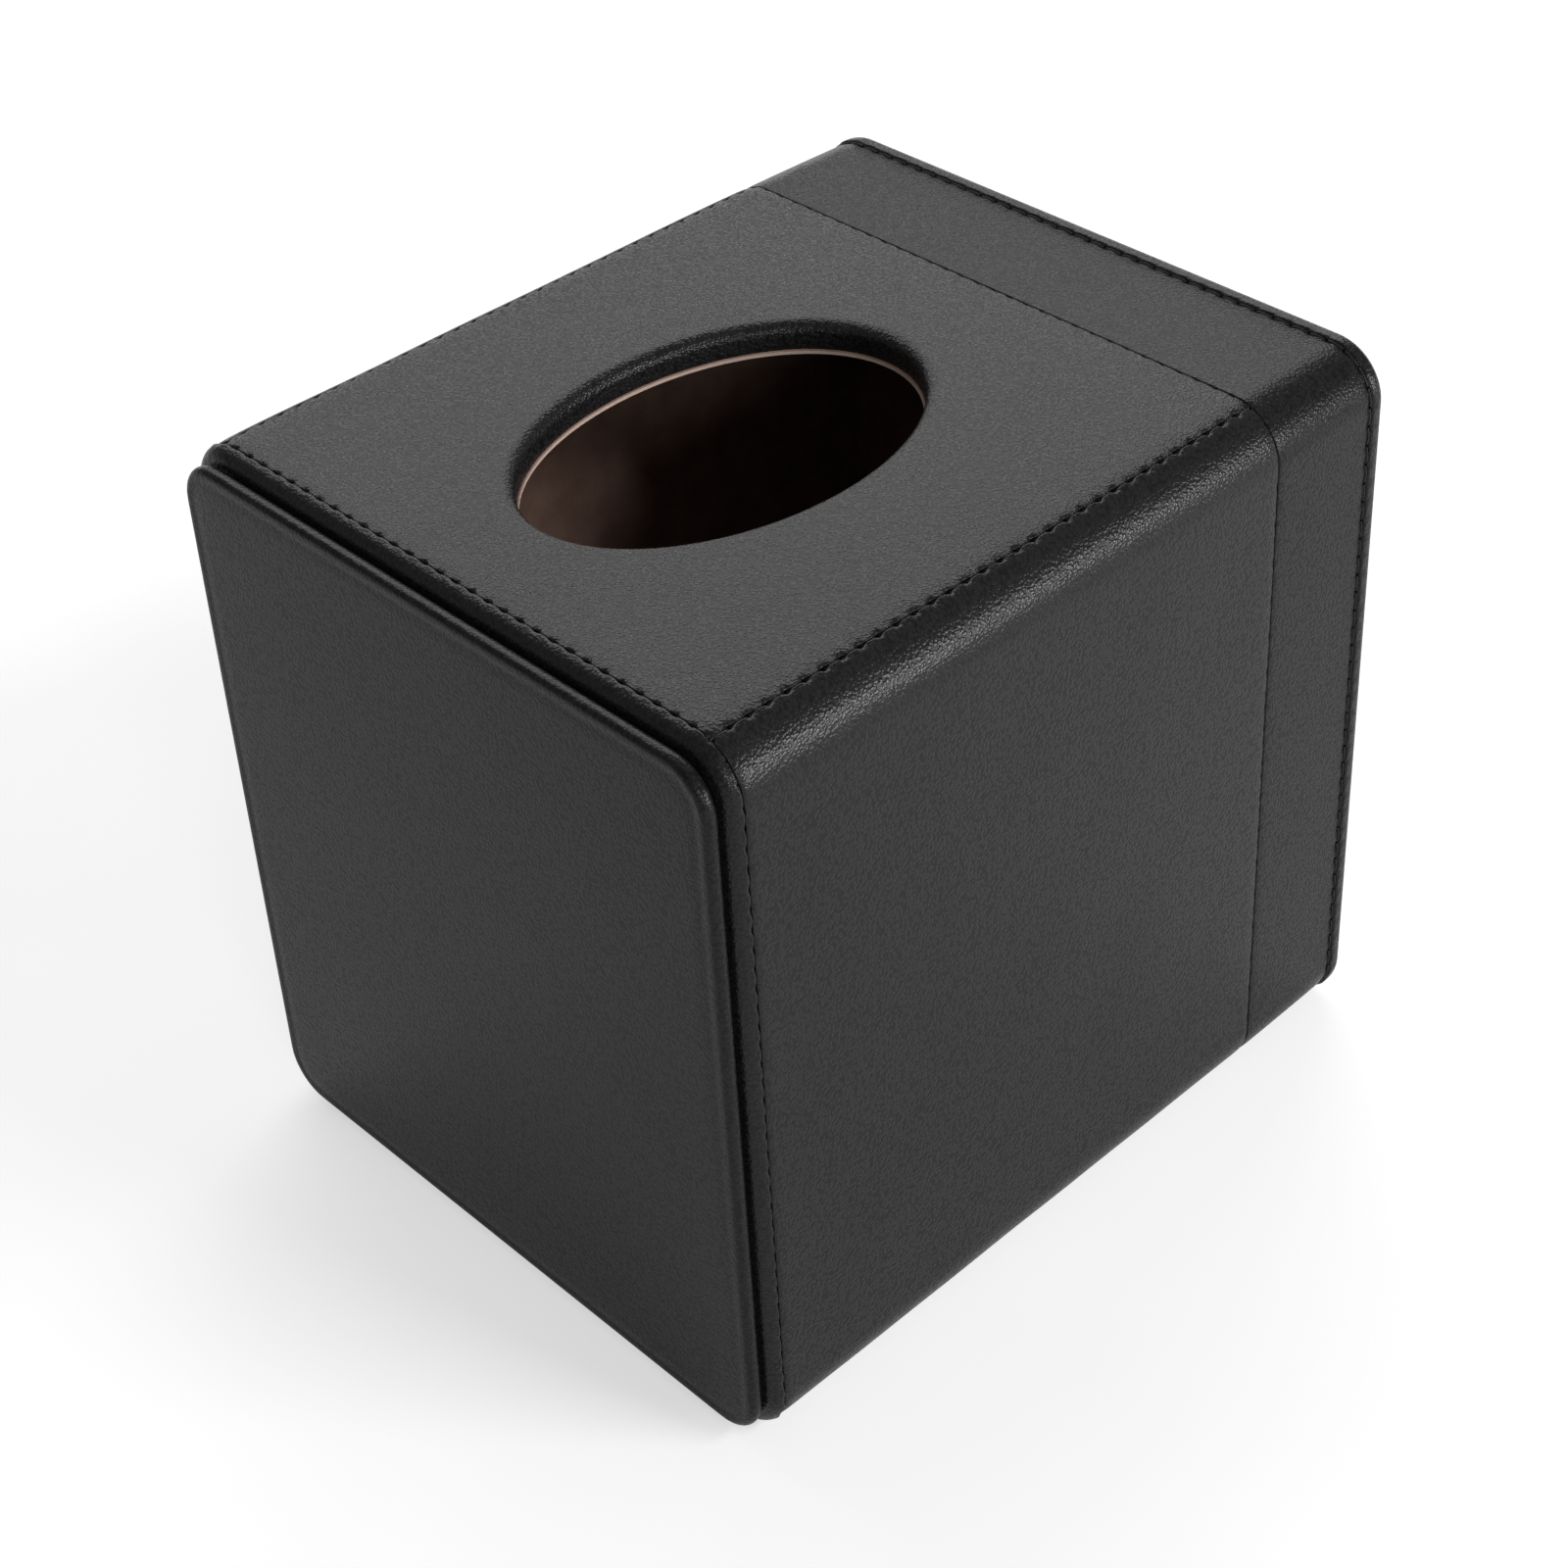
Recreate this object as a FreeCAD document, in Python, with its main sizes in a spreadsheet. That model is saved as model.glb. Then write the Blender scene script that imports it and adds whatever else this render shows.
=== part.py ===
import FreeCAD, Part
import os
import re

# Tissue box cover: a leather-covered board box with an oval mouth in its top
# and a padded door that closes its front. Millimetres. The origin is on the
# floor under the middle of the box, +Z is up and the door is at -Y.

DRIVING_SIZES = {
    # the whole cover, door closed
    "width": 130,
    "height": 144,
    "depth": 154.4,
    "edge_radius": 10,
    # layers of the wall, from the outside in
    "leather": 0.9,
    "foam": 1.1,
    "board": 3,
    "side_board": 5,
    "rebate": 2,
    "lining": 0.8,
    # seams: long ones are measured from the side, the others from the rear
    "seam_gap": 0.6,
    "thread": 0.5,
    "thread_sink": 0.15,
    "long_seam_inset": 6.55,
    "cross_seam_inset": 28.5,
    "rear_seam_inset": 3.65,
    # rolled rims of the two ends
    "rim_roll": 2.7,
    "rim_turn_in": 8,
    "rear_roll": 2.2,
    "rear_margin": 8,
    "rear_panel_radius": 5,
    # oval mouth, its middle measured from the front of the door
    "oval_width": 52.8,
    "oval_length": 76.8,
    "oval_from_front": 63.4,
    # door, hung on a folded leather strip in the gap behind its left edge
    "door_gap": 0.6,
    "door_side_inset": 1.5,
    "door_lift": 1.75,
    "door_top_drop": 2.1,
    "door_radius": 8.5,
    "door_foam": 0.4,
    "door_board": 1,
    "door_lining": 0.4,
    "door_roll": 1.35,
    "door_back_share": 0.95,
    "hinge_width": 6,
    # magnets in the right side board and the steel keepers in the door
    "magnet_height": 10,
    "magnet_width": 3,
    "magnet_depth": 2,
    "magnet_from_end": 18,
    "keeper_height": 14,
    "keeper_width": 4,
    "keeper_depth": 0.6,
    # how far a cutting shape runs past what it cuts
    "overrun": 5,
}

# How flat an edge lies to count as level, as a share of its length
FLATNESS_SHARE = 1e-4

doc = FreeCAD.newDocument("tissue_box_cover")
sheet = doc.addObject("Spreadsheet::Sheet", "Sizes")
for row, (size_name, size_value) in enumerate(DRIVING_SIZES.items(), start=1):
    sheet.set("A" + str(row), size_name)
    sheet.set("B" + str(row), str(size_value))
    sheet.setAlias("B" + str(row), size_name)
doc.recompute()

# Places worked out from the driving sizes, as sums of their names
HALF_WIDTH = "width / 2"
FRONT = "-depth / 2"
REAR = "depth / 2"
SKIN = "(leather + foam)"
WALL = "(leather + foam + board)"
SIDE_WALL = "(leather + foam + side_board)"
DOOR_THICKNESS = "(leather + door_foam + door_board + door_lining)"
DOOR_BACK = f"({FRONT} + {DOOR_THICKNESS})"
RIM_FRONT = f"({DOOR_BACK} + door_gap)"
BOARD_FRONT = f"({RIM_FRONT} + leather)"
BOARD_REAR = f"({REAR} - {SKIN})"
TURN_IN_END = f"({RIM_FRONT} + rim_turn_in)"
FRONT_SEAM = f"({RIM_FRONT} + rim_roll)"
CROSS_SEAM = f"({REAR} - cross_seam_inset)"
REAR_SEAM = f"({REAR} - rear_seam_inset)"
LONG_SEAM = f"({HALF_WIDTH} - long_seam_inset)"
INSIDE_HALF = f"({HALF_WIDTH} - {SIDE_WALL})"
DOOR_HALF = f"({HALF_WIDTH} - door_side_inset)"
DOOR_TOP = "(height - door_top_drop)"
HINGE_FOLD = f"(door_gap / 2 - {DOOR_HALF})"
MAGNET_LEVELS = (("upper", "(height - magnet_from_end)"), ("lower", "magnet_from_end"))
OVAL_MIDDLE = f"({FRONT} + oval_from_front)"


def sheet_sum(words):
    """Turn a sum of size names into an expression on the sheet."""
    return re.sub(r"\b[a-z_]+\b(?!\()", lambda name: "Sizes." + name.group(), words)


def bind(item, **sums):
    """Bind an object's properties to sums of the sheet's sizes."""
    for prop, words in sums.items():
        item.setExpression(prop, sheet_sum(words))


def put(item, x="0", y="0", z="0"):
    """Bind the place of an object to sums of the sheet's sizes."""
    for axis, words in zip("xyz", (x, y, z)):
        item.setExpression("Placement.Base." + axis, sheet_sum(words))


def set_block(block, x_range, y_range, z_range):
    """Bind a box to the space between its low and high sums along each axis."""
    lows = [low for low, high in (x_range, y_range, z_range)]
    spans = [f"({high}) - ({low})" for low, high in (x_range, y_range, z_range)]
    bind(block, Length=spans[0], Width=spans[1], Height=spans[2])
    put(block, *lows)
    doc.recompute()
    return block


def box(label, x_range, y_range, z_range):
    """A plain box between its low and high sums along each axis."""
    return set_block(doc.addObject("Part::Box", label), x_range, y_range, z_range)


def middle(half):
    """The range of a size that is centred on zero."""
    return f"-({half})", half


def joined(kind, label, base, tool):
    """One boolean of two objects: Part::Cut, Part::Common or Part::Fuse."""
    item = doc.addObject(kind, label)
    if kind == "Part::Fuse":
        item.Refine = True
    item.Base = base
    item.Tool = tool
    doc.recompute()
    return item


def cut(label, base, *tools):
    """Cut one tool after another from a base."""
    for count, tool in enumerate(tools, start=1):
        name = label if count == len(tools) else f"{label}_cut_{count}"
        base = joined("Part::Cut", name, base, tool)
    return base


def common(label, base, tool):
    """What two objects share."""
    return joined("Part::Common", label, base, tool)


def fuse(label, base, tool):
    """Two objects made one."""
    return joined("Part::Fuse", label, base, tool)


def round_edges(body, label, radius, is_wanted):
    """Round the edges of the body's last feature that a test picks."""
    base = body.Tip
    names = [f"Edge{count}" for count, edge in enumerate(base.Shape.Edges, start=1) if is_wanted(edge)]
    feature = body.newObject("PartDesign::Fillet", label)
    feature.Base = (base, names)
    bind(feature, Radius=radius)
    doc.recompute()
    return feature


def runs_along_depth(edge):
    """Whether an edge is one of a block's straight edges along Y."""
    start, end = (vertex.Point for vertex in edge.Vertexes)
    return abs(end.y - start.y) > abs(end.x - start.x) + abs(end.z - start.z)


def is_level(edge, low, high, level):
    """Whether an edge's lowest and highest place along an axis are both at one level."""
    return abs(low - level) + abs(high - level) < edge.Length * FLATNESS_SHARE


def rounded_block(label, half_width, y_range, z_range, radius, front_roll=None, rear_roll=None):
    """A block along Y with round long edges, and round edges at its ends if asked."""
    body = doc.addObject("PartDesign::Body", label)
    block = body.newObject("PartDesign::AdditiveBox", label + "_block")
    set_block(block, middle(half_width), y_range, z_range)
    round_edges(body, label + "_long_edges", radius, runs_along_depth)
    limits = body.Tip.Shape.BoundBox
    for roll, end, level in ((front_roll, "front", limits.YMin), (rear_roll, "rear", limits.YMax)):
        if roll:
            round_edges(body, f"{label}_{end}_roll", roll, lambda edge: lies_at_depth(edge, level))
    return body


def lies_at_depth(edge, level):
    """Whether the whole of an edge lies at one depth."""
    return is_level(edge, edge.BoundBox.YMin, edge.BoundBox.YMax, level)


def inset_block(label, inset, y_range, front_roll=None):
    """A block of the cover's own section, drawn in by an inset all round."""
    z_range = (inset, f"height - {inset}")
    radius = f"edge_radius - {inset}"
    return rounded_block(label, f"{HALF_WIDTH} - {inset}", y_range, z_range, radius, front_roll)


def oval_prism(label, margin, z_range):
    """An upright oval column as large as the mouth and a margin all round."""
    outline = doc.addObject("Part::Ellipse", label + "_outline")
    bind(outline, MajorRadius=f"oval_length / 2 + {margin}", MinorRadius=f"oval_width / 2 + {margin}")
    outline.Placement.Rotation = FreeCAD.Rotation(FreeCAD.Vector(0, 0, 1), 90)
    put(outline, y=OVAL_MIDDLE, z=z_range[0])
    column = doc.addObject("Part::Extrusion", label)
    column.Base = outline
    column.DirMode = "Custom"
    column.Dir = FreeCAD.Vector(0, 0, 1)
    column.Solid = True
    bind(column, LengthFwd=f"({z_range[1]}) - ({z_range[0]})")
    doc.recompute()
    return column


# Shapes that several pieces share
WHOLE_DEPTH = (f"{FRONT} - overrun", f"{REAR} + overrun")
WHOLE_WIDTH = middle(f"{HALF_WIDTH} + overrun")
WHOLE_HEIGHT = ("-overrun", "height + overrun")
MOUTH_HEIGHT = (f"height - {WALL} - lining - overrun", "height + overrun")
MAIN_DEPTH = (f"{FRONT_SEAM} + seam_gap / 2", f"{CROSS_SEAM} - seam_gap / 2")
BOARD_DEPTH = (BOARD_FRONT, BOARD_REAR)
INSIDE_HEIGHT = (WALL, f"height - {WALL}")

skin_outside = inset_block("skin_outside", "0", (FRONT, REAR))
skin_inside = inset_block("skin_inside", "leather", WHOLE_DEPTH)
skin = cut("skin", skin_outside, skin_inside)
carcass = inset_block("carcass", SKIN, BOARD_DEPTH, f"rim_roll - {SKIN}")
mouth = oval_prism("mouth", "0", MOUTH_HEIGHT)
board_mouth = oval_prism("board_mouth", "leather", MOUTH_HEIGHT)
foam_mouth = oval_prism("foam_mouth", SKIN, MOUTH_HEIGHT)

parts = []


def sub_part(item, label):
    """Name a finished piece of the cover."""
    item.Label = label
    parts.append(item)
    return item


def magnet_space(label, level, width, height, y_range):
    """A box at a magnet's place in the right side board, or at the keeper's in front of it."""
    centre = f"({HALF_WIDTH} - {SKIN} - side_board / 2)"
    x_range = (f"{centre} - {width} / 2", f"{centre} + {width} / 2")
    return box(label, x_range, y_range, (f"{level} - {height} / 2", f"{level} + {height} / 2"))


def make_boards():
    """The glued box under the leather: the sides are rebated for the top and the bottom."""
    shelf = f"{INSIDE_HALF} + rebate"
    levels = (("top", f"height - {WALL}", WHOLE_HEIGHT[1]), ("bottom", WHOLE_HEIGHT[0], WALL))
    slabs = {}
    for name, low, high in levels:
        slab = box(f"{name}_slab", middle(shelf), WHOLE_DEPTH, (low, high))
        slabs[name] = common(f"{name}_panel", carcass, slab)
    sub_part(cut("top_board", slabs["top"], board_mouth), "top_board")
    sub_part(slabs["bottom"], "bottom_board")
    magnet_depth = (BOARD_FRONT, f"{BOARD_FRONT} + magnet_depth")
    magnets = []
    for name, level in MAGNET_LEVELS:
        magnet = magnet_space(f"{name}_magnet", level, "magnet_width", "magnet_height", magnet_depth)
        magnets.append(sub_part(magnet, f"{name}_magnet"))
    for name, x_range, pockets in (
        ("left", (f"-{HALF_WIDTH}", f"-{INSIDE_HALF}"), []),
        ("right", (INSIDE_HALF, HALF_WIDTH), magnets),
    ):
        blank = box(f"{name}_blank", x_range, WHOLE_DEPTH, WHOLE_HEIGHT)
        plain = common(f"{name}_plain", carcass, blank)
        sub_part(cut(f"{name}_board", plain, slabs["top"], slabs["bottom"], *pockets), f"{name}_board")
    rear_depth = (f"{BOARD_REAR} - board", BOARD_REAR)
    sub_part(box("rear_board", middle(INSIDE_HALF), rear_depth, INSIDE_HEIGHT), "rear_board")


def make_foam():
    """Thin foam between the boards and the leather, round at the front under the rim."""
    sleeve = inset_block("foam_sleeve_blank", "leather", BOARD_DEPTH, "rim_roll - leather")
    nose = box("foam_nose", WHOLE_WIDTH, (WHOLE_DEPTH[0], f"{RIM_FRONT} + {SKIN}"), WHOLE_HEIGHT)
    foam_sleeve = sub_part(cut("foam_sleeve", sleeve, carcass, foam_mouth, nose), "foam_sleeve")
    sub_part(inset_block("rear_foam", "leather", (BOARD_REAR, f"{REAR} - leather")), "rear_foam")
    return foam_sleeve


def make_top_leather():
    """The top panel, whose edge rolls over the foam and lines the mouth down to the lining."""
    panel_half = f"{LONG_SEAM} - seam_gap / 2"
    formed = []
    for label, drop, tool in (("top_form", "0", mouth), ("top_hollow", "leather", board_mouth)):
        run = "0" if label == "top_form" else "overrun"
        x_range = middle(f"{panel_half} + {run}")
        y_range = (f"{MAIN_DEPTH[0]} - {run}", f"{MAIN_DEPTH[1]} + {run}")
        low, high = f"height - {WALL} - {run}", f"height - {drop}"
        blank = cut(f"{label}_blank", box(f"{label}_box", x_range, y_range, (low, high)), tool)
        body = doc.addObject("PartDesign::Body", label)
        body.BaseFeature = blank
        doc.recompute()
        top = body.Tip.Shape.BoundBox.ZMax
        round_edges(body, f"{label}_roll", f"{SKIN} - {drop}", lambda edge: is_mouth_rim(edge, top))
        formed.append(body)
    shell = cut("top_shell", formed[0], formed[1])
    sub_part(common("top_leather", shell, skin_outside), "top_leather")


def is_mouth_rim(edge, level):
    """Whether an edge is the rim of the mouth at one height."""
    is_flat = is_level(edge, edge.BoundBox.ZMin, edge.BoundBox.ZMax, level)
    return is_flat and not isinstance(edge.Curve, Part.Line)


def make_side_leather():
    """The side panels go over the long edges to the seams; the bottom panel lies between them."""
    seam_side = f"{LONG_SEAM} + seam_gap / 2"
    for name, x_range in (
        ("left", (f"-{HALF_WIDTH}", f"-({seam_side})")),
        ("right", (seam_side, HALF_WIDTH)),
    ):
        space = box(f"{name}_leather_space", x_range, MAIN_DEPTH, WHOLE_HEIGHT)
        sub_part(common(f"{name}_leather", skin, space), f"{name}_leather")
    bottom_half = f"{LONG_SEAM} - seam_gap / 2"
    space = box("bottom_leather_space", middle(bottom_half), MAIN_DEPTH, ("-overrun", "height / 2"))
    sub_part(common("bottom_leather", skin, space), "bottom_leather")


def make_rear_leather():
    """The rear band, the rear rim that rolls on to the rear face, and the panel inside it."""
    band_depth = (f"{CROSS_SEAM} + seam_gap / 2", f"{REAR_SEAM} - seam_gap / 2")
    band_space = box("rear_band_space", WHOLE_WIDTH, band_depth, WHOLE_HEIGHT)
    sub_part(common("rear_band", skin, band_space), "rear_band")

    rim_form = rounded_block(
        "rear_rim_form", HALF_WIDTH, (CROSS_SEAM, REAR), ("0", "height"), "edge_radius", rear_roll="rear_roll"
    )
    rim_hollow = inset_block("rear_rim_hollow", "leather", (FRONT, f"{REAR} - leather"))
    rim_front = box(
        "rear_rim_front", WHOLE_WIDTH, (FRONT, f"{REAR_SEAM} + seam_gap / 2"), WHOLE_HEIGHT
    )
    panels = {}
    for name, gap, depth_end in (
        ("rear_window", "0", f"{REAR} + overrun"),
        ("rear_panel", "seam_gap / 2", REAR),
    ):
        inset = f"(rear_margin + {gap})"
        panels[name] = rounded_block(
            name, f"{HALF_WIDTH} - {inset}", (f"{REAR} - leather", depth_end),
            (inset, f"height - {inset}"), f"rear_panel_radius - {gap}",
        )
    sub_part(cut("rear_rim", rim_form, rim_hollow, rim_front, panels["rear_window"]), "rear_rim")
    sub_part(panels["rear_panel"], "rear_panel")


def make_front_rim(foam_sleeve):
    """The front rim rolls over the front of the foam and the boards, and turns in behind them."""
    rim_form = rounded_block(
        "front_rim_form", HALF_WIDTH, (RIM_FRONT, REAR), ("0", "height"), "edge_radius", front_roll="rim_roll"
    )
    opening = box(
        "front_rim_opening", middle(f"{INSIDE_HALF} - leather"), WHOLE_DEPTH,
        (f"{WALL} + leather", f"height - {WALL} - leather"),
    )
    rim_rear = box(
        "front_rim_rear", WHOLE_WIDTH, (f"{FRONT_SEAM} - seam_gap / 2", f"{REAR} + overrun"), WHOLE_HEIGHT
    )
    face = cut("front_rim_face", rim_form, opening, rim_rear, carcass, foam_sleeve)
    lip = box("front_rim_lip", middle(INSIDE_HALF), (RIM_FRONT, TURN_IN_END), INSIDE_HEIGHT)
    turn_in = cut("front_rim_turn_in", lip, opening)
    sub_part(fuse("front_rim", face, turn_in), "front_rim")


def make_linings():
    """Brown linings on the inner faces, behind the turned-in front rim."""
    start = f"{TURN_IN_END} + seam_gap / 2"
    depth = (start, f"{BOARD_REAR} - board")
    low, high = INSIDE_HEIGHT
    top = box("top_lining_sheet", middle(INSIDE_HALF), depth, (f"{high} - lining", high))
    sub_part(cut("top_lining", top, mouth), "top_lining")
    sub_part(box("bottom_lining", middle(INSIDE_HALF), depth, (low, f"{low} + lining")), "bottom_lining")
    between = (f"{low} + lining", f"{high} - lining")
    inner = f"{INSIDE_HALF} - lining"
    for name, x_range in (
        ("left", (f"-{INSIDE_HALF}", f"-({inner})")),
        ("right", (inner, INSIDE_HALF)),
    ):
        sub_part(box(f"{name}_lining", x_range, depth, between), f"{name}_lining")
    rear_depth = (f"{BOARD_REAR} - board - lining", f"{BOARD_REAR} - board")
    sub_part(box("rear_lining", middle(inner), rear_depth, between), "rear_lining")


def make_threads():
    """Sewing thread sunk in the gap between the leather edges of each seam."""
    for name, seam in (("front", FRONT_SEAM), ("cross", CROSS_SEAM), ("rear", REAR_SEAM)):
        depth = (f"{seam} - thread / 2", f"{seam} + thread / 2")
        past = (f"{seam} - thread - overrun", f"{seam} + thread + overrun")
        outside = inset_block(f"{name}_thread_outside", "thread_sink", depth)
        inside = inset_block(f"{name}_thread_inside", "(thread_sink + thread)", past)
        sub_part(cut(f"{name}_thread", outside, inside), f"{name}_thread")
    centre_radius = "(edge_radius - thread_sink - thread / 2)"
    across = f"max(0; {LONG_SEAM} - ({HALF_WIDTH} - edge_radius))"
    rise = f"(height / 2 - edge_radius + sqrt({centre_radius} ^ 2 - {across} ^ 2))"
    start = f"({FRONT_SEAM} + thread)"
    for name, side, level in (
        ("top_left", "-1", "1"), ("top_right", "1", "1"),
        ("bottom_left", "-1", "-1"), ("bottom_right", "1", "-1"),
    ):
        cord = doc.addObject("Part::Cylinder", f"{name}_thread")
        bind(cord, Radius="thread / 2", Height=f"{CROSS_SEAM} - thread - {start}")
        cord.Placement.Rotation = FreeCAD.Rotation(FreeCAD.Vector(1, 0, 0), -90)
        put(cord, f"{side} * {LONG_SEAM}", start, f"height / 2 + {level} * {rise}")
        sub_part(cord, f"{name}_thread")


def make_door():
    """The padded door: leather turned round its edge, foam, board with steel keepers, lining."""
    form = rounded_block(
        "door_form", DOOR_HALF, (FRONT, DOOR_BACK), ("door_lift", DOOR_TOP), "door_radius",
        front_roll="door_roll", rear_roll=f"({DOOR_THICKNESS} - door_roll) * door_back_share",
    )
    inside_half = f"{DOOR_HALF} - leather"
    inside_height = ("door_lift + leather", f"{DOOR_TOP} - leather")
    radius = "door_radius - leather"
    faces = [f"{FRONT} + leather"]
    for layer in ("door_foam", "door_board", "door_lining"):
        faces.append(f"{faces[-1]} + {layer}")
    hollow = rounded_block(
        "door_hollow", inside_half, (faces[0], f"{DOOR_BACK} + overrun"), inside_height, radius
    )
    sub_part(cut("door_leather", form, hollow), "door_leather")
    layers = {}
    for name, y_range in zip(("door_foam", "door_board_blank", "door_lining"), zip(faces, faces[1:])):
        layers[name] = rounded_block(name, inside_half, y_range, inside_height, radius)
    keepers = []
    keeper_depth = (f"{faces[2]} - keeper_depth", faces[2])
    for name, level in MAGNET_LEVELS:
        keeper = magnet_space(f"{name}_keeper", level, "keeper_width", "keeper_height", keeper_depth)
        keepers.append(sub_part(keeper, f"{name}_keeper"))
    sub_part(layers["door_foam"], "door_foam")
    sub_part(cut("door_board", layers["door_board_blank"], *keepers), "door_board")
    sub_part(layers["door_lining"], "door_lining")


def make_hinge_strip():
    """The folded leather in the gap behind the door's left edge; its round fold is the hinge's axis."""
    low, high = "(door_lift + door_radius)", f"({DOOR_TOP} - door_radius)"
    flat_width = (HINGE_FOLD, f"{HINGE_FOLD} + hinge_width")
    flat = box("hinge_flat", flat_width, (DOOR_BACK, RIM_FRONT), (low, high))
    fold = doc.addObject("Part::Cylinder", "hinge_fold")
    bind(fold, Radius="door_gap / 2", Height=f"{high} - {low}")
    put(fold, HINGE_FOLD, f"{DOOR_BACK} + door_gap / 2", low)
    sub_part(fuse("hinge_strip", flat, fold), "hinge_strip")


def write_parts():
    """Check every object, then write each piece to a file of its own."""
    doc.recompute()
    for item in doc.Objects:
        if "Invalid" in item.State or "Error" in item.State:
            raise RuntimeError(f"{item.Label} did not build")
    for item in parts:
        if item.Shape.isNull() or not item.Shape.isValid() or not item.Shape.Solids:
            raise RuntimeError(f"{item.Label} is not a sound solid")
    os.makedirs("parts", exist_ok=True)
    for item in parts:
        item.Shape.exportStep(f"parts/{item.Label}.step")
        print(item.Label, len(item.Shape.Solids), round(item.Shape.Volume, 2))


make_boards()
foam_sleeve = make_foam()
make_top_leather()
make_side_leather()
make_rear_leather()
make_front_rim(foam_sleeve)
make_linings()
make_threads()
make_door()
make_hinge_strip()
write_parts()
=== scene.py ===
import math

import bpy
import numpy as np
from mathutils import Matrix, Vector


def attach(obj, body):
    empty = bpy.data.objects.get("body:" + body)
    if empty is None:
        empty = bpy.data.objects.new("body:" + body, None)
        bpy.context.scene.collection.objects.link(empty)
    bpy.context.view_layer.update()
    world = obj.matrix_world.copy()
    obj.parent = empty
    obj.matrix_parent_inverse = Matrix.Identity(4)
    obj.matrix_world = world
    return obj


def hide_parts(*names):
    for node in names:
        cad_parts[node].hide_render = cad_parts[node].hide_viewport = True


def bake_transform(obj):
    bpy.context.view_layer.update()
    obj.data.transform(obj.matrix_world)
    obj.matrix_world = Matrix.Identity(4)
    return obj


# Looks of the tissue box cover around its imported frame. Lengths are millimetres, as in
# the part's source, and become metres in the meshes. The stage is in metres.

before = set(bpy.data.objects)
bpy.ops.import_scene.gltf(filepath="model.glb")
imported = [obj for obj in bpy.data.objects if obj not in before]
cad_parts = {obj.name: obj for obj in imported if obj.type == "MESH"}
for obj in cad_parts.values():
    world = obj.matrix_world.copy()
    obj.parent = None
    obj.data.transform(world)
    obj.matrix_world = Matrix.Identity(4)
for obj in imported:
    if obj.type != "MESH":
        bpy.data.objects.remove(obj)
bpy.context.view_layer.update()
MM = 0.001

# The sleeve: a rounded rectangle seen from the front, swept from front to rear
HALF_WIDTH = 65.0
HEIGHT = 144.0
EDGE_RADIUS = 10.0
LEATHER = 0.9
FOAM = 1.1
LINING = 0.8

# Seams, by their place from front to rear or along the outline
FRONT_SEAM = -71.2
CROSS_SEAM = 48.7
REAR_SEAM = 73.55
REAR_FACE = 77.2
LONG_SEAM_ACROSS = 58.45
HALF_GAP = 0.05
STITCH_PITCH = 3.8
COLUMNS_PER_STITCH = 8

# The oval mouth
OVAL_HALF_WIDTH = 26.4
OVAL_HALF_LENGTH = 38.4
OVAL_MIDDLE = -13.8
LIP_REACH = 2.4
LIP_FALL = 2.3
LIP_CALM_SHARE = 0.3
CEILING = 139.0

# Rims: rolled over the front, then turned in along the inner walls, and over the rear
RIM_FRONT = -73.9
RIM_ROLL = 2.7
RIM_BULGE = 0.18
RIM_EDGE_TURN = 0.45
RIM_LEATHER = 0.75
TURN_IN_END = -65.9
TURN_IN_ROLL = 1.0
TURN_IN_RADIUS = 1.5
REAR_MARGIN = 8.0
REAR_ROLL = 2.2
REAR_BULGE = 0.08
REAR_LIP = 0.5
REAR_LIP_GAP = 0.1
REAR_LIP_RADIUS = 5.0
REAR_PANEL_RADIUS = 4.7
REAR_PANEL_SWELL = 0.25

# Door: leather over foam with a bead along its edge, a lining on its back, and its hinge strip
DOOR_FRONT = -77.2
DOOR_BACK = -74.5
DOOR_HALF_WIDTH = 63.5
DOOR_LOW = 1.75
DOOR_TOP = 141.9
DOOR_RADIUS = 8.5
DOOR_ROLL = 1.35
DOOR_BACK_ROLL = 1.28
DOOR_TURN_DEPTH = 0.3
DOOR_TURN_MARGIN = 0.1
DOOR_GROOVE = 0.16
DOOR_GROOVE_PLACE = 2.7
DOOR_GROOVE_REACH = 0.6
DOOR_SWELL = 0.25
DOOR_SWELL_REACH = 18.0
DOOR_CALM = 1.0
DOOR_FOAM = 0.4
DOOR_FOAM_HOLLOW = 0.1
DOOR_LINING = 0.4
DOOR_LINING_MARGIN = 0.15
DOOR_PLAY = 0.02
HINGE_FOLD = -63.2
HINGE_WIDTH = 6.0
HINGE_PLAY = 0.02
HINGE_SLIT = 0.02

# Boards, linings and foam
BOARD_FRONT = -73.0
BOARD_REAR = 75.2
INSIDE_HALF = 58.0
FLOOR_LEVEL = 5.0
LINING_START = -65.6
LINING_END = 72.2
LINING_EDGE = 0.25
LINING_RADIUS = 0.6
LINING_SWELL = 0.05
FOAM_PLAY = 0.05
FOAM_MOUTH_MARGIN = 0.9
REAR_FOAM_EDGE = 0.3
LEAST_RADIUS = 0.05

# How the leather lies. Of each kind of seam: turned edge, soft dip, pull and width
# of its needle holes, and how short the holes are
RIM_SEAM = (0.24, 0.1, 0.46, 0.3, 3)
LONG_SEAM_FORM = (0.22, 0.1, 0.46, 0.3, 3)
CROSS_SEAM_FORM = (0.2, 0.08, 0.12, 0.06, 3)
REAR_SEAM_FORM = (0.24, 0.1, 0.3, 0.18, 2)
DIP_REACH = 1.1
PULL_REACH = 0.45
PARTING_REACH = 0.4
DEEPEST_FALL = 0.8
FRONT_RIM_PULL = 0.42
REAR_RIM_PULL = 0.3
RIM_HOLE_SHARPNESS = 2
GATHER_HEIGHT = 0.05
GATHER_PITCHES = (2.1, 3.3)
GATHER_BROAD_SHARE = 0.6
GATHER_RISE = 1.2
GATHER_END = 4.0
FRONT_GATHER_START, REAR_GATHER_START = 0.6, 0.8
SHOULDER_SHARE = 0.75
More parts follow.
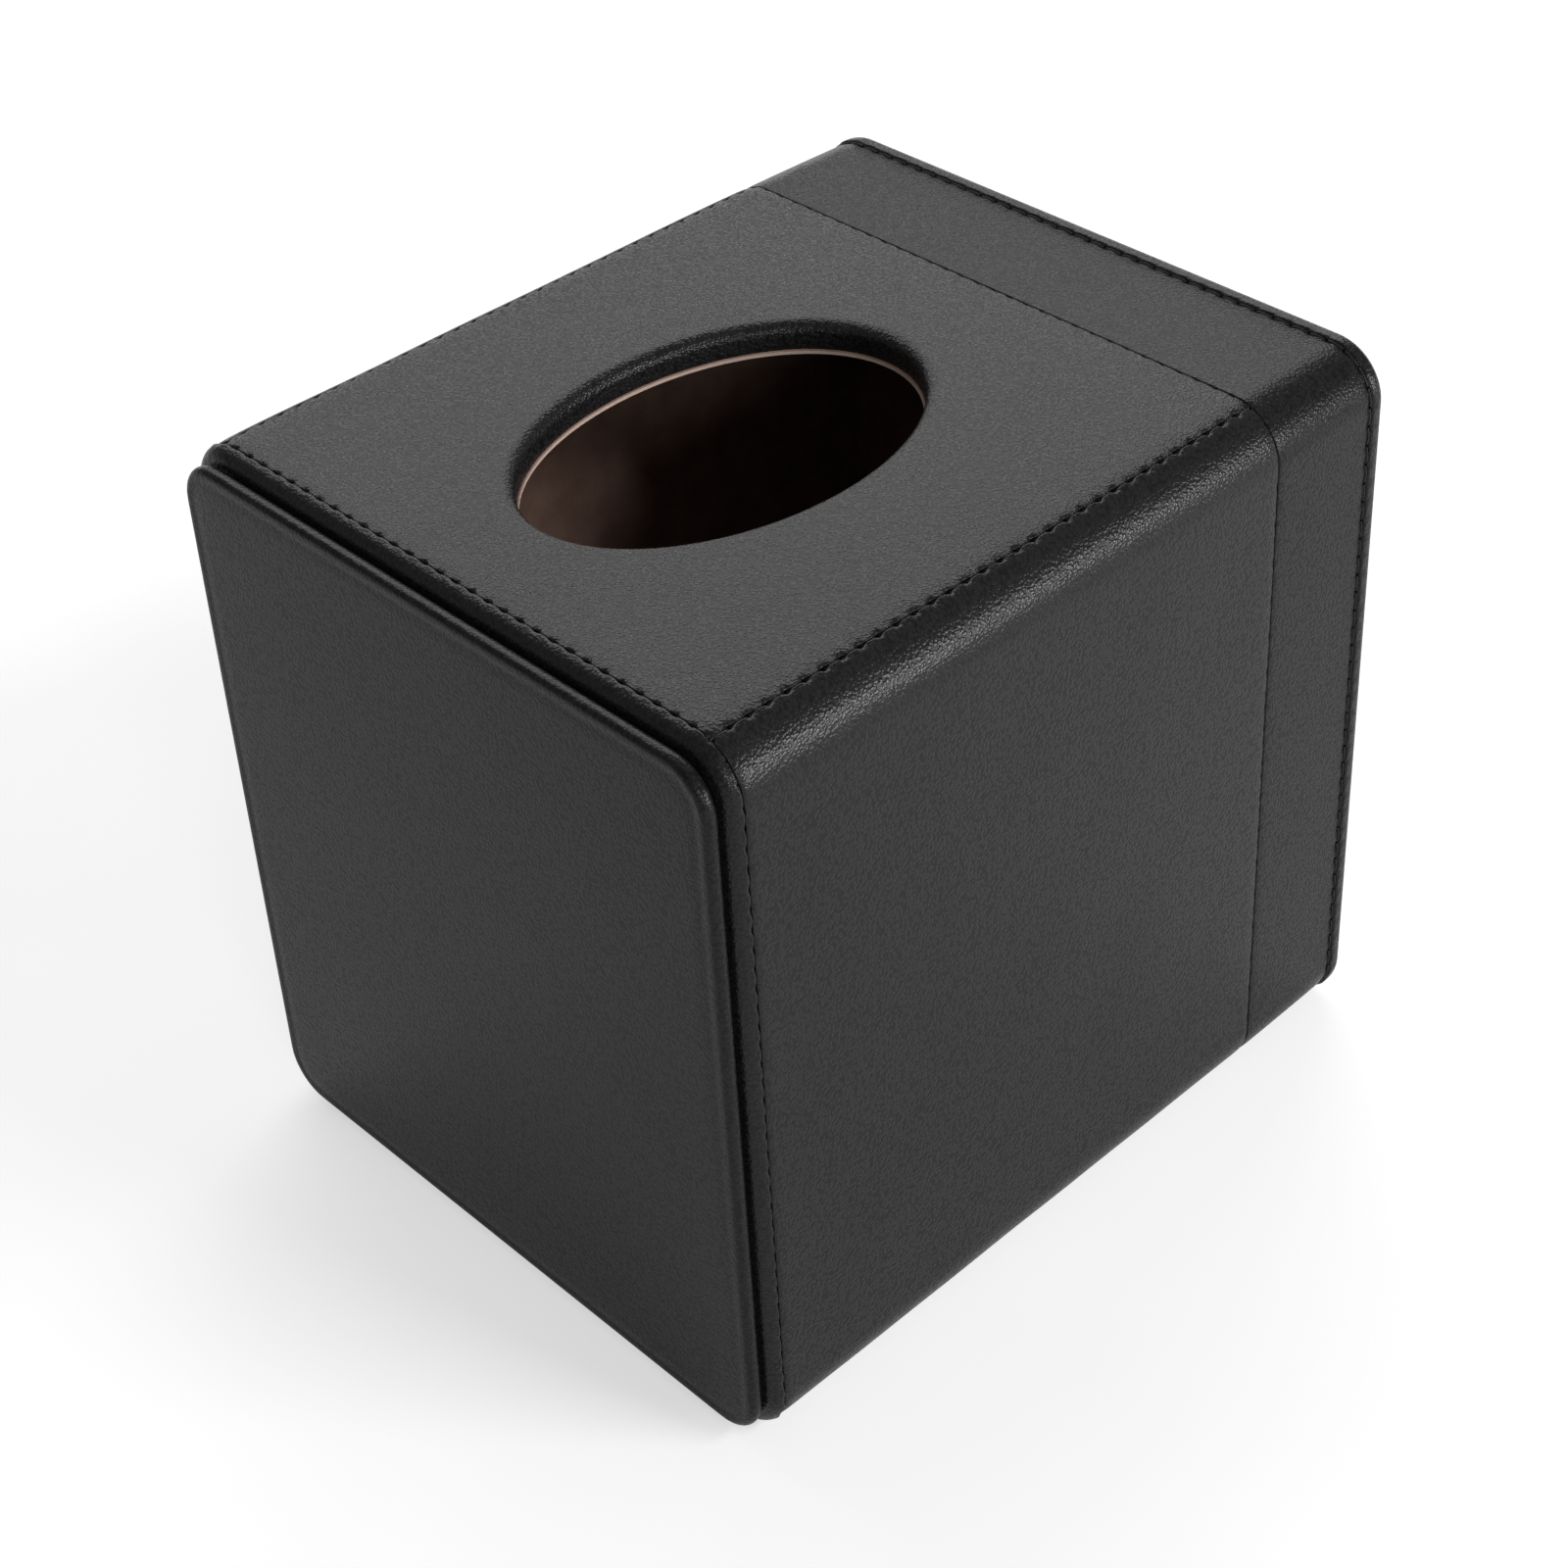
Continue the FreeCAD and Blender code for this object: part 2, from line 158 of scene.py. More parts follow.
SHOULDER_REACH = 2.5
BAND_FALL = 0.4
BAND_FALL_POWER = 1.5
SHEET_CALM = 3.0

# The slow rise and fall of the soft faces: height and length of their waves
PANEL_WAVES = (0.06, 30.0)
TOP_WAVES = (0.06, 34.0)
DOOR_WAVES = (0.05, 40.0)
SHEET_WAVES = (0.08, 35.0)
WAVE_COUNT = 5
WAVE_SPREAD = (0.6, 1.6)

# Mesh steps: at the edges and in the middle, as lengths or as shares of the way
PANEL_STEPS = (0.12, 1.5)
DOOR_STEPS = (0.4, 3.0)
SHEET_STEPS = (0.5, 4.0)
HINGE_STEPS = (0.3, 2.0)
TOP_SHARE_STEPS = (0.003, 0.05)
MOUTH_SHARE_STEPS = (0.01, 0.12)
FOAM_COLUMNS, FOAM_BEND_ROWS, FOAM_FLAT_ROWS = 40, 16, 30
LONG_SEAM_POINTS = 120

# Stitches: length, thread radius, rise, and how deep each seam's stitches lie
STITCH_LENGTH = 3.2
RING_THREAD, LONG_THREAD = 0.22, 0.17
RING_RISE, LONG_RISE = 0.25, 0.3
FRONT_SINK, CROSS_SINK, REAR_SINK, LONG_SINK = 0.56, 0.5, 0.5, 0.27

# The photograph's camera, in metres and in the picture's pixels
PICTURE_PIXELS = 1600
FOCAL_PIXELS = 3113.7
PICTURE_MIDDLE = (838, 640)
CAMERA_PLACE = (0.31873, -0.29133, 0.40397)
CAMERA_RIGHT = (0.70136, 0.71173, -0.03916)
CAMERA_UP = (-0.39093, 0.43002, 0.81379)
CAMERA_AHEAD = (-0.59604, 0.55545, -0.57984)
CAMERA_CLIP = (0.01, 50.0)
SENSOR_WIDTH = 36.0

# Levels of the room and of the floor's lift to white, the lift's share in reflections,
# and how far the lamps stand from the point that they face
WORLD_LEVEL = 0.2
FLOOR_LIFT = 0.55
MIRRORED_SHARE = 0.32
PANEL_DISTANCE = 1.6
PANEL_TARGET = (0.0, 0.0, 0.1)

# The stage's floor, in metres
STAGE_HALF = 6.0
STAGE_TILES = 12
STAGE_DROP = 0.00005


# Meshes


def add_object(name, data):
    """A new object in the scene."""
    made = bpy.data.objects.new(name, data)
    bpy.context.scene.collection.objects.link(made)
    return made


def points_at(x, y, z):
    """Points from coordinates whose shapes fit each other."""
    return np.stack(np.broadcast_arrays(x, y, z), axis=-1)


def make_piece(name, points, faces, *materials):
    """A smooth mesh object at the origin from points in millimetres, its faces turned outwards."""
    points = np.asarray(points, float) * MM
    if enclosed_volume(points, faces) < 0:
        faces = flipped(faces)
    mesh = bpy.data.meshes.new(name)
    mesh.from_pydata(points.tolist(), [], faces)
    mesh.validate()
    mesh.shade_smooth()
    for material in materials:
        mesh.materials.append(material)
    return add_object(name, mesh)


def enclosed_volume(points, faces):
    """The volume inside a closed mesh of three- and four-sided faces, negative if it is inside out."""
    corners = np.array([face if len(face) == 4 else (*face, face[2]) for face in faces])
    a, b, c, d = (points[corners[:, k]] for k in range(4))
    return float((np.cross(b, c) * a).sum() + (np.cross(c, d) * a).sum()) / 6


def grid_faces(rows, columns, start=0, wrap_rows=False, wrap_columns=False):
    """The four-sided faces of a grid of points stored row by row."""
    index = np.arange(rows * columns).reshape(rows, columns) + start
    if wrap_rows:
        index = np.vstack([index, index[:1]])
    if wrap_columns:
        index = np.hstack([index, index[:, :1]])
    quads = np.stack([index[:-1, :-1], index[1:, :-1], index[1:, 1:], index[:-1, 1:]], axis=-1)
    return [tuple(quad) for quad in quads.reshape(-1, 4).tolist()]


def border(rows, columns, start=0):
    """The points round the edge of a grid, in order."""
    index = np.arange(rows * columns).reshape(rows, columns) + start
    return np.concatenate([index[0, :-1], index[:-1, -1], index[-1, :0:-1], index[:0:-1, 0]])


def bridge(first, second):
    """Faces between two closed rows of points of the same count."""
    after_first, after_second = np.roll(first, -1), np.roll(second, -1)
    quads = np.stack([first, second, after_second, after_first], axis=-1)
    return [tuple(quad) for quad in quads.tolist()]


def flipped(faces):
    """Faces turned to the other side."""
    return [tuple(reversed(face)) for face in faces]


def shell(outer, inner):
    """Points and faces of a closed sheet between two open grids."""
    rows, columns = outer.shape[:2]
    count = rows * columns
    points = np.concatenate([outer.reshape(-1, 3), inner.reshape(-1, 3)])
    faces = grid_faces(rows, columns) + flipped(grid_faces(rows, columns, count))
    faces += flipped(bridge(border(rows, columns), border(rows, columns, count)))
    return points, faces


def hoop(outer, inner):
    """Points and faces of a closed tube between two grids whose rows are closed rings."""
    section = np.concatenate([outer, inner[::-1]])
    rows, columns = section.shape[:2]
    return section.reshape(-1, 3), grid_faces(rows, columns, 0, True, True)


def graded(start, end, fine, coarse, growth=1.3):
    """Places between two ends, close together at the ends and further apart in the middle."""
    steps, reach, step = [0.0], 0.0, fine
    while reach + step < (end - start) / 2:
        reach += step
        steps.append(reach)
        step = min(step * growth, coarse)
    half = np.array(steps)
    return np.concatenate([start + half, (end - half)[::-1]])


# The outline of the sleeve and of the other rounded rectangles


def outline_knots(half_width, low, high, radius):
    """Arc lengths of a rounded rectangle's runs, clockwise from the middle of its top."""
    across, up, bend = half_width - radius, (high - low) / 2 - radius, radius * math.pi / 2
    runs = [across, bend, 2 * up, bend, 2 * across, bend, 2 * up, bend, across]
    return np.concatenate([[0.0], np.cumsum(runs)])


KNOT_TURNS = np.repeat(np.arange(0, 361, 90), 2)


def stations(arc, knots):
    """For arc lengths: shares across and up the straight runs, and the outward direction."""
    across = np.interp(arc, knots, [0, 1, 1, 1, 1, -1, -1, -1, -1, 0])
    up = np.interp(arc, knots, [1, 1, 1, -1, -1, -1, -1, 1, 1, 1])
    turn = np.radians(np.interp(arc, knots, KNOT_TURNS))
    return across, up, np.sin(turn), np.cos(turn)


def place(where, half_width, low, high, radius):
    """X and Z of stations on a rounded rectangle."""
    across, up, out_x, out_z = where
    x = across * (half_width - radius) + radius * out_x
    z = (low + high) / 2 + up * ((high - low) / 2 - radius) + radius * out_z
    return x, z


DOOR_OUTLINE = (DOOR_HALF_WIDTH, DOOR_LOW, DOOR_TOP, DOOR_RADIUS)
SLEEVE_KNOTS = outline_knots(HALF_WIDTH, 0.0, HEIGHT, EDGE_RADIUS)
SLEEVE_ROUND = float(SLEEVE_KNOTS[-1])
HALF_ROUND = SLEEVE_ROUND / 2
LONG_SEAM = HALF_WIDTH - EDGE_RADIUS + EDGE_RADIUS * math.asin(
    (LONG_SEAM_ACROSS - HALF_WIDTH + EDGE_RADIUS) / EDGE_RADIUS
)
RING_STITCHES = round(SLEEVE_ROUND / STITCH_PITCH)
RING_COLUMNS = RING_STITCHES * COLUMNS_PER_STITCH
RING_ARC = np.arange(RING_COLUMNS) * SLEEVE_ROUND / RING_COLUMNS
RING_PITCH = SLEEVE_ROUND / RING_STITCHES
LONG_STITCHES = round((CROSS_SEAM - FRONT_SEAM) / STITCH_PITCH)
LONG_PITCH = (CROSS_SEAM - FRONT_SEAM) / LONG_STITCHES


def on_sleeve(arc, depth, inset):
    """Points of the sleeve at arc lengths and depths, drawn in by an inset."""
    across, up, out_x, out_z = stations(np.mod(arc, SLEEVE_ROUND), SLEEVE_KNOTS)
    x = across * (HALF_WIDTH - EDGE_RADIUS) + (EDGE_RADIUS - inset) * out_x
    z = HEIGHT / 2 + up * (HEIGHT / 2 - EDGE_RADIUS) + (EDGE_RADIUS - inset) * out_z
    return points_at(x, depth, z)


# How sewn leather lies


def turned_edge(distance, roll):
    """How far an edge of leather turns down at a distance from its seam."""
    share = np.clip(1 - distance / roll, 0, 1)
    return roll * (1 - np.sqrt(1 - share**2))


def hole_share(along, pitch, sharpness):
    """One at each needle hole along a seam, nothing half-way between two holes."""
    return np.cos(math.pi * along / pitch) ** (2 * sharpness)


def seam_fall(distance, along, pitch, form):
    """How far a panel sinks near a seam: turned edge, soft dip and the pull at each needle hole."""
    roll, dip, pull, _, sharpness = form
    soft = dip * np.exp(-((distance / DIP_REACH) ** 2))
    pulled = pull * hole_share(along, pitch, sharpness) * np.exp(-((distance / PULL_REACH) ** 2))
    return turned_edge(distance, roll) + soft + pulled


def parted(distance, along, pitch, form):
    """How far the needle holes draw a panel's edge back from its seam."""
    width, sharpness = form[3:]
    return width * hole_share(along, pitch, sharpness) * np.exp(-distance / PARTING_REACH)


def shoulder(arc, depth):
    """How far the padding lifts the leather beside the long seams: the top stays flat up to them."""
    quarter = np.abs(np.mod(arc + SLEEVE_ROUND / 4, SLEEVE_ROUND / 2) - SLEEVE_ROUND / 4)
    before = np.clip(quarter - (HALF_WIDTH - EDGE_RADIUS), 0, LONG_SEAM - HALF_WIDTH + EDGE_RADIUS)
    after = np.exp(-np.maximum(quarter - LONG_SEAM, 0) / SHOULDER_REACH)
    ends = np.minimum(depth - FRONT_SEAM, CROSS_SEAM - depth)
    fade = 1 - np.exp(-np.maximum(ends, 0) / SHOULDER_REACH)
    return SHOULDER_SHARE * before**2 / (2 * EDGE_RADIUS) * after * fade


def unevenness(u, v, seed, height, length):
    """A slow, irregular rise and fall of a soft surface."""
    draw = np.random.default_rng(seed)
    total = 0.0
    for _ in range(WAVE_COUNT):
        angle, phase = draw.uniform(0, 2 * math.pi, 2)
        wave = length * draw.uniform(*WAVE_SPREAD)
        turn = 2 * math.pi / wave
        total = total + np.sin(turn * (u * math.cos(angle) + v * math.sin(angle)) + phase)
    return height * total / WAVE_COUNT


# Materials


def node(tree, kind, inputs=None, **settings):
    """A shader or geometry node with its settings, values and links."""
    made = tree.nodes.new(kind)
    for name, value in settings.items():
        setattr(made, name, value)
    for name, value in (inputs or {}).items():
        socket = made.inputs[name]
        if isinstance(value, bpy.types.NodeSocket):
            tree.links.new(value, socket)
        else:
            socket.default_value = value
    return made


def new_material(name):
    """A material with its shader, and the object's place in millimetres."""
    material = bpy.data.materials.new(name)
    material.use_nodes = True
    tree = material.node_tree
    shader = tree.nodes["Principled BSDF"]
    place_node = node(tree, "ShaderNodeTexCoord")
    scaled = node(
        tree, "ShaderNodeMapping", {"Vector": place_node.outputs["Object"], "Scale": (1 / MM,) * 3}
    )
    return material, tree, shader, scaled.outputs["Vector"]


def noise(tree, place_mm, per_mm, detail=2.0):
    """Noise of a given fineness."""
    return node(
        tree, "ShaderNodeTexNoise", {"Vector": place_mm, "Scale": per_mm, "Detail": detail}
    ).outputs["Fac"]


def ranged(tree, value, low, high, to_low, to_high, kind="SMOOTHSTEP"):
    """A value moved from one range to another."""
    return node(
        tree, "ShaderNodeMapRange",
        {"Value": value, "From Min": low, "From Max": high, "To Min": to_low, "To Max": to_high},
        interpolation_type=kind,
    ).outputs["Result"]


def mixed(tree, share, first, second):
    """Two colours mixed by a share."""
    made = node(tree, "ShaderNodeMix", {"Factor": share}, data_type="RGBA")
    for socket, colour in ((made.inputs[6], first), (made.inputs[7], second)):
        socket.default_value = (*colour, 1)
    return made.outputs[2]


def summed(tree, first, second, share):
    """The first value plus a share of the second."""
    return node(
        tree, "ShaderNodeMath", {0: second, 1: share, 2: first}, operation="MULTIPLY_ADD"
    ).outputs[0]


def bumped(tree, shader, height, distance):
    """Give the shader a relief of a given height."""
    relief = node(tree, "ShaderNodeBump", {"Height": height, "Distance": distance * MM, "Strength": 1.0})
    tree.links.new(relief.outputs["Normal"], shader.inputs["Normal"])


def surfaced(tree, shader, pattern, tones, roughness):
    """Give the shader two tones and a range of roughness that follow one pattern."""
    tree.links.new(mixed(tree, pattern, *tones), shader.inputs["Base Color"])
    tree.links.new(ranged(tree, pattern, 0, 1, *roughness), shader.inputs["Roughness"])


def leather_material(name, grain, gloss_level):
    """Black pebbled leather: small domed grains with creases between them, a little uneven in gloss, and
    its colour darker in the creases as painted shade.
    """
    material, tree, shader, place_mm = new_material(name)
    drift = node(tree, "ShaderNodeTexNoise", {"Vector": place_mm, "Scale": 0.9, "Detail": 2.0})
    warped = node(
        tree, "ShaderNodeVectorMath", {0: drift.outputs["Color"], 1: (0.5,) * 3, 2: place_mm},
        operation="MULTIPLY_ADD",
    ).outputs["Vector"]
    reach = node(
        tree, "ShaderNodeTexVoronoi", {"Vector": warped, "Scale": 1.7, "Randomness": 1.0}, feature="F1"
    ).outputs["Distance"]
    round_reach = node(tree, "ShaderNodeMath", {0: reach, 1: 2.0}, operation="POWER").outputs[0]
    dome = ranged(tree, round_reach, 0.0, 0.5, 1.0, 0.0, "LINEAR")
    slow = noise(tree, place_mm, 0.05, 3.0)
    bumped(tree, shader, summed(tree, dome, noise(tree, place_mm, 0.9, 2.0), 0.35), grain)
    # Painted shade: the base colour is darker between the grains, standing in for the shadow in the
    # creases.
    tone = mixed(tree, dome, (0.005, 0.005, 0.0051), (0.015, 0.015, 0.0152))
    tree.links.new(tone, shader.inputs["Base Color"])
    gloss = summed(tree, ranged(tree, dome, 0, 1, 0.32, 0.16), slow, 0.05)
    tree.links.new(gloss, shader.inputs["Roughness"])
    shader.inputs["Specular IOR Level"].default_value = gloss_level
    return material


def lining_material():
    """Brown suede cloth with a short nap that lies unevenly."""
    material, tree, shader, place_mm = new_material("brown_lining")
    nap = noise(tree, place_mm, 4.0, 4.0)
    brushed = noise(tree, place_mm, 0.12, 3.0)
    share = ranged(tree, summed(tree, brushed, nap, 0.5), 0.45, 1.05, 0.0, 1.0)
    tone = mixed(tree, share, (0.16, 0.094, 0.072), (0.245, 0.154, 0.121))
    tree.links.new(tone, shader.inputs["Base Color"])
    tree.links.new(ranged(tree, nap, 0, 1, 0.85, 1.0), shader.inputs["Roughness"])
    bumped(tree, shader, nap, 0.08)
    shader.inputs["Sheen Weight"].default_value = 0.12
    shader.inputs["Specular IOR Level"].default_value = 0.2
    return material


def fibre_material(name, tones, per_mm, detail, roughness, relief, gloss_level=0.5):
    """Fine loose fibres, as in board, sewing thread or a cut edge."""
    material, tree, shader, place_mm = new_material(name)
    fibre = noise(tree, place_mm, per_mm, detail)
    surfaced(tree, shader, fibre, tones, roughness)
    bumped(tree, shader, fibre, relief)
    shader.inputs["Specular IOR Level"].default_value = gloss_level
    return material


def foam_material():
    """Dark foam sheet with fine open cells."""
    material, tree, shader, place_mm = new_material("foam")
    cell = node(tree, "ShaderNodeTexVoronoi", {"Vector": place_mm, "Scale": 2.2}).outputs["Distance"]
    surfaced(tree, shader, cell, ((0.03, 0.03, 0.03), (0.12, 0.12, 0.12)), (0.85, 1.0))
    bumped(tree, shader, cell, 0.15)
    return material


def steel_material():
    """Plated steel with fine drawn lines."""
    material, tree, shader, place_mm = new_material("magnet_steel")
    drawn = node(tree, "ShaderNodeMapping", {"Vector": place_mm, "Scale": (6.0, 6.0, 0.3)})
    lines = noise(tree, drawn.outputs["Vector"], 1.0, 3.0)
    surfaced(tree, shader, lines, ((0.5, 0.5, 0.52), (0.68, 0.68, 0.7)), (0.25, 0.4))
    shader.inputs["Metallic"].default_value = 1.0
    return material


leather = leather_material("black_leather", 0.05, 0.28)
top_grain = leather_material("top_leather_grain", 0.08, 0.27)
door_grain = leather_material("door_leather_grain", 0.036, 0.22)
band_grain = leather_material("band_leather_grain", 0.05, 0.21)
lining = lining_material()
cut_edge = fibre_material(
    "lining_cut_edge", ((0.36, 0.26, 0.21), (0.6, 0.48, 0.42)), 2.5, 4.0, (0.8, 1.0), 0.06
)
thread = fibre_material(
    "black_thread", ((0.012, 0.012, 0.012), (0.035, 0.035, 0.035)), 7.0, 3.0, (0.5, 0.75), 0.05, 0.35
)
foam = foam_material()


def dress(piece, body, slot_name, *nodes):
    """Hang a finished piece on its body in place of its plain solids."""
    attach(piece, body)
    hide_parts(*nodes)
    return piece


# Leather panels of the sleeve


def flat_size(*lengths):
    """Sizes of a flat cut in metres."""
    return tuple(length * MM for length in lengths)


def sewn(arc, depth, arc_ends, depth_ends):
    """A panel's arc lengths and depths after its stitches' pull, and how far it sinks at its seams."""
    (low, high), (front, rear) = arc_ends, depth_ends
    ring, along = arc + RING_PITCH / 2, depth - FRONT_SEAM
    fall = seam_fall(np.minimum(arc - low, high - arc), along, LONG_PITCH, LONG_SEAM_FORM)
    fall = fall + seam_fall(depth - front, ring, RING_PITCH, RIM_SEAM)
    fall = fall + seam_fall(rear - depth, ring, RING_PITCH, CROSS_SEAM_FORM)
    low_side = parted(arc - low, along, LONG_PITCH, LONG_SEAM_FORM)
    high_side = parted(high - arc, along, LONG_PITCH, LONG_SEAM_FORM)
    front_side = parted(depth - front, ring, RING_PITCH, RIM_SEAM)
    rear_side = parted(rear - depth, ring, RING_PITCH, CROSS_SEAM_FORM)
    return arc + low_side - high_side, depth + front_side - rear_side, np.minimum(fall, DEEPEST_FALL)


def sleeve_panel(name, low_arc, high_arc, seed):
    """A panel between two long seams, the front seam and the cross seam."""
    first, last = low_arc + HALF_GAP, high_arc - HALF_GAP
    front, rear = FRONT_SEAM + HALF_GAP, CROSS_SEAM - HALF_GAP
    arc = graded(first, last, *PANEL_STEPS)[:, None]
    depth = graded(front, rear, PANEL_STEPS[0], LONG_PITCH / COLUMNS_PER_STITCH)[None, :]
    sewn_arc, sewn_depth, fall = sewn(arc, depth, (first, last), (front, rear))
    fall = fall + unevenness(arc, depth, seed, *PANEL_WAVES) - shoulder(arc, depth)
    outer = on_sleeve(sewn_arc, sewn_depth, fall)
    inner = on_sleeve(sewn_arc, sewn_depth, LEATHER)
    piece = make_piece(name, *shell(outer, inner), leather)
    return piece


def oval(turn, margin=0.0):
    """X and Y of the mouth's outline, let out by a margin."""
    x = (OVAL_HALF_WIDTH + margin) * np.cos(turn)
    return x, OVAL_MIDDLE + (OVAL_HALF_LENGTH + margin) * np.sin(turn)


def mouth_spokes(half_arc, front, rear):
    """Points round a rectangle and the turns on the oval that they face."""
    along = np.linspace(front, rear, round((rear - front) / STITCH_PITCH) * COLUMNS_PER_STITCH + 1)
    over = np.linspace(-half_arc, half_arc, round(2 * half_arc / STITCH_PITCH) * COLUMNS_PER_STITCH + 1)
    arc = np.concatenate([
        np.full(len(along) - 1, half_arc), over[:0:-1], np.full(len(along) - 1, -half_arc), over[:-1]
    ])
    depth = np.concatenate([
        along[:-1], np.full(len(over) - 1, rear), along[:0:-1], np.full(len(over) - 1, front)
    ])
    turn = np.arctan2((depth - OVAL_MIDDLE) / OVAL_HALF_LENGTH, arc / OVAL_HALF_WIDTH)
    return arc, depth, turn


def spoke_rows(half_arc, front, rear, margin, shares):
    """Arc lengths and depths of rings from the oval, let out by a margin, to a rectangle."""
    arc, depth, turn = mouth_spokes(half_arc, front, rear)
    x, y = oval(turn, margin)
    share = np.asarray(shares)[:, None]
    return x + (arc - x) * share, y + (depth - y) * share, turn


def lip_rows(turn, inset):
    """Rings of the rolled lip from its lower edge up to the flat, drawn in by an inset."""
    bends = np.radians(np.linspace(90, 0, 13))
    rows = [points_at(*oval(turn, inset), level)
            for level in np.linspace(CEILING, HEIGHT - LIP_FALL, 5)[:-1]]
    for bend in bends:
        reach = inset + (LIP_REACH - inset) * (1 - math.sin(bend))
        level = HEIGHT - inset - (LIP_FALL - inset) * (1 - math.cos(bend))
        rows.append(points_at(*oval(turn, reach), level))
    return np.array(rows)


def top_panel():
    """The top panel with its rolled oval lip."""
    half_arc = LONG_SEAM - HALF_GAP
    front, rear = FRONT_SEAM + HALF_GAP, CROSS_SEAM - HALF_GAP
    shares = graded(-1.0, 1.0, *TOP_SHARE_STEPS)
    shares = shares[shares > 0]
    arc, depth, turn = spoke_rows(half_arc, front, rear, LIP_REACH, shares)
    sewn_arc, sewn_depth, fall = sewn(arc, depth, (-half_arc, half_arc), (front, rear))
    rise = np.minimum(shares / LIP_CALM_SHARE, 1.0)[:, None]
    fall = fall + rise * unevenness(arc, depth, 11, *TOP_WAVES) - shoulder(arc, depth)
    outer = np.concatenate([lip_rows(turn, 0.0), on_sleeve(sewn_arc, sewn_depth, fall)])
    few = [0, len(shares) // 2, len(shares) - 1]
    under = on_sleeve(sewn_arc[few], sewn_depth[few], LEATHER)
    inner = np.concatenate([lip_rows(turn, LEATHER)[::3], under])
    piece = make_piece("top_panel", *hoop(outer, inner), top_grain)
    return piece


def rear_band():
    """The band round the sleeve between the cross seam and the rear rim."""
    front, rear = CROSS_SEAM + HALF_GAP, REAR_SEAM - HALF_GAP
    depth = graded(front, rear, *PANEL_STEPS)[:, None]
    arc = RING_ARC[None, :]
    ring = arc + RING_PITCH / 2
    fall = seam_fall(depth - front, ring, RING_PITCH, CROSS_SEAM_FORM)
    fall = np.minimum(fall + seam_fall(rear - depth, ring, RING_PITCH, REAR_SEAM_FORM), DEEPEST_FALL)
    slope = ((depth - front) / (rear - front)) ** BAND_FALL_POWER
    fall = np.minimum(fall + BAND_FALL * slope, DEEPEST_FALL)
    front_side = parted(depth - front, ring, RING_PITCH, CROSS_SEAM_FORM)
    sewn_depth = depth + front_side - parted(rear - depth, ring, RING_PITCH, REAR_SEAM_FORM)
    outer = on_sleeve(arc, sewn_depth, fall)
    inner = on_sleeve(arc, sewn_depth, LEATHER)
    piece = make_piece("rear_band_panel", *hoop(outer, inner), band_grain)
    return piece


# Rolled rims


def offset_path(path, distance):
    """A path of depths and insets moved sideways, to the inner side of the leather."""
    step = np.gradient(path, axis=0)
    step /= np.linalg.norm(step, axis=1)[:, None]
    return path + distance * np.stack([-step[:, 1], step[:, 0]], axis=1)


def rim_rows(path, shares, ripple):
    """Rings of a rim: each follows the outline, drawn in by the path's inset at its depth.

    Past the roll, the sides and the corners draw in by their own shares of the inset."""
    roll, side_share, corner_share = shares
    where = stations(RING_ARC, SLEEVE_KNOTS)
    rows = []
    for (depth, inset), wave in zip(path, ripple):
        past = max(0.0, inset - roll)
        side, radius = inset + past * (side_share - 1), EDGE_RADIUS - inset - past * (corner_share - 1)
        x, z = place(where, HALF_WIDTH - side, inset, HEIGHT - inset, radius)
        rows.append(points_at(x - wave * where[2], depth, z - wave * where[3]))
    return np.array(rows)


def rim_piece(name, path, shares, ripple, thickness):
    """A rim of leather along a path of depths and insets, and its flat size."""
    outer = rim_rows(path, shares, ripple)
    inner = rim_rows(offset_path(path, thickness), shares, np.zeros_like(ripple))
    width = float(np.linalg.norm(np.diff(path, axis=0), axis=1).sum())
    return make_piece(name, *hoop(outer, inner), leather), flat_size(width, SLEEVE_ROUND)


def bend_path(centre, radius, first, last, count):
    """An arc of depths and insets round a centre, between two angles in degrees."""
    angle = np.radians(np.linspace(first, last, count))
    return np.stack([centre[0] + radius * np.cos(angle), centre[1] + radius * np.sin(angle)], axis=1)


def straight_path(first, last, count):
    """A straight run of depths and insets from one point to another, without the first."""
    return np.linspace(first, last, count + 1)[1:]


def stitch_pull(path, seam, strength):
    """Ripples of a rim's leather between its stitches, fading away from the seam."""
    wave = hole_share(RING_ARC + RING_PITCH / 2, RING_PITCH, RIM_HOLE_SHARPNESS)
    fade = np.exp(-(((path[:, 0] - seam) / PULL_REACH) ** 2)) * (path[:, 1] < RIM_ROLL)
    return strength * fade[:, None] * wave[None, :]


def gathers(path, start):
    """Small folds where a rim turns round the corners of the sleeve."""
    turn = np.interp(RING_ARC, SLEEVE_KNOTS, KNOT_TURNS)
    bent = np.sin(np.radians(turn) * 2) ** 2
    fine, broad = (2 * math.pi * RING_ARC / pitch for pitch in GATHER_PITCHES)
    fold = np.sin(fine) + GATHER_BROAD_SHARE * np.sin(broad + 1)
    share = np.clip((path[:, 1] - start) / GATHER_RISE, 0, 1) * np.clip(GATHER_END - path[:, 1], 0, 1)
    return GATHER_HEIGHT * share[:, None] * (bent * fold)[None, :]


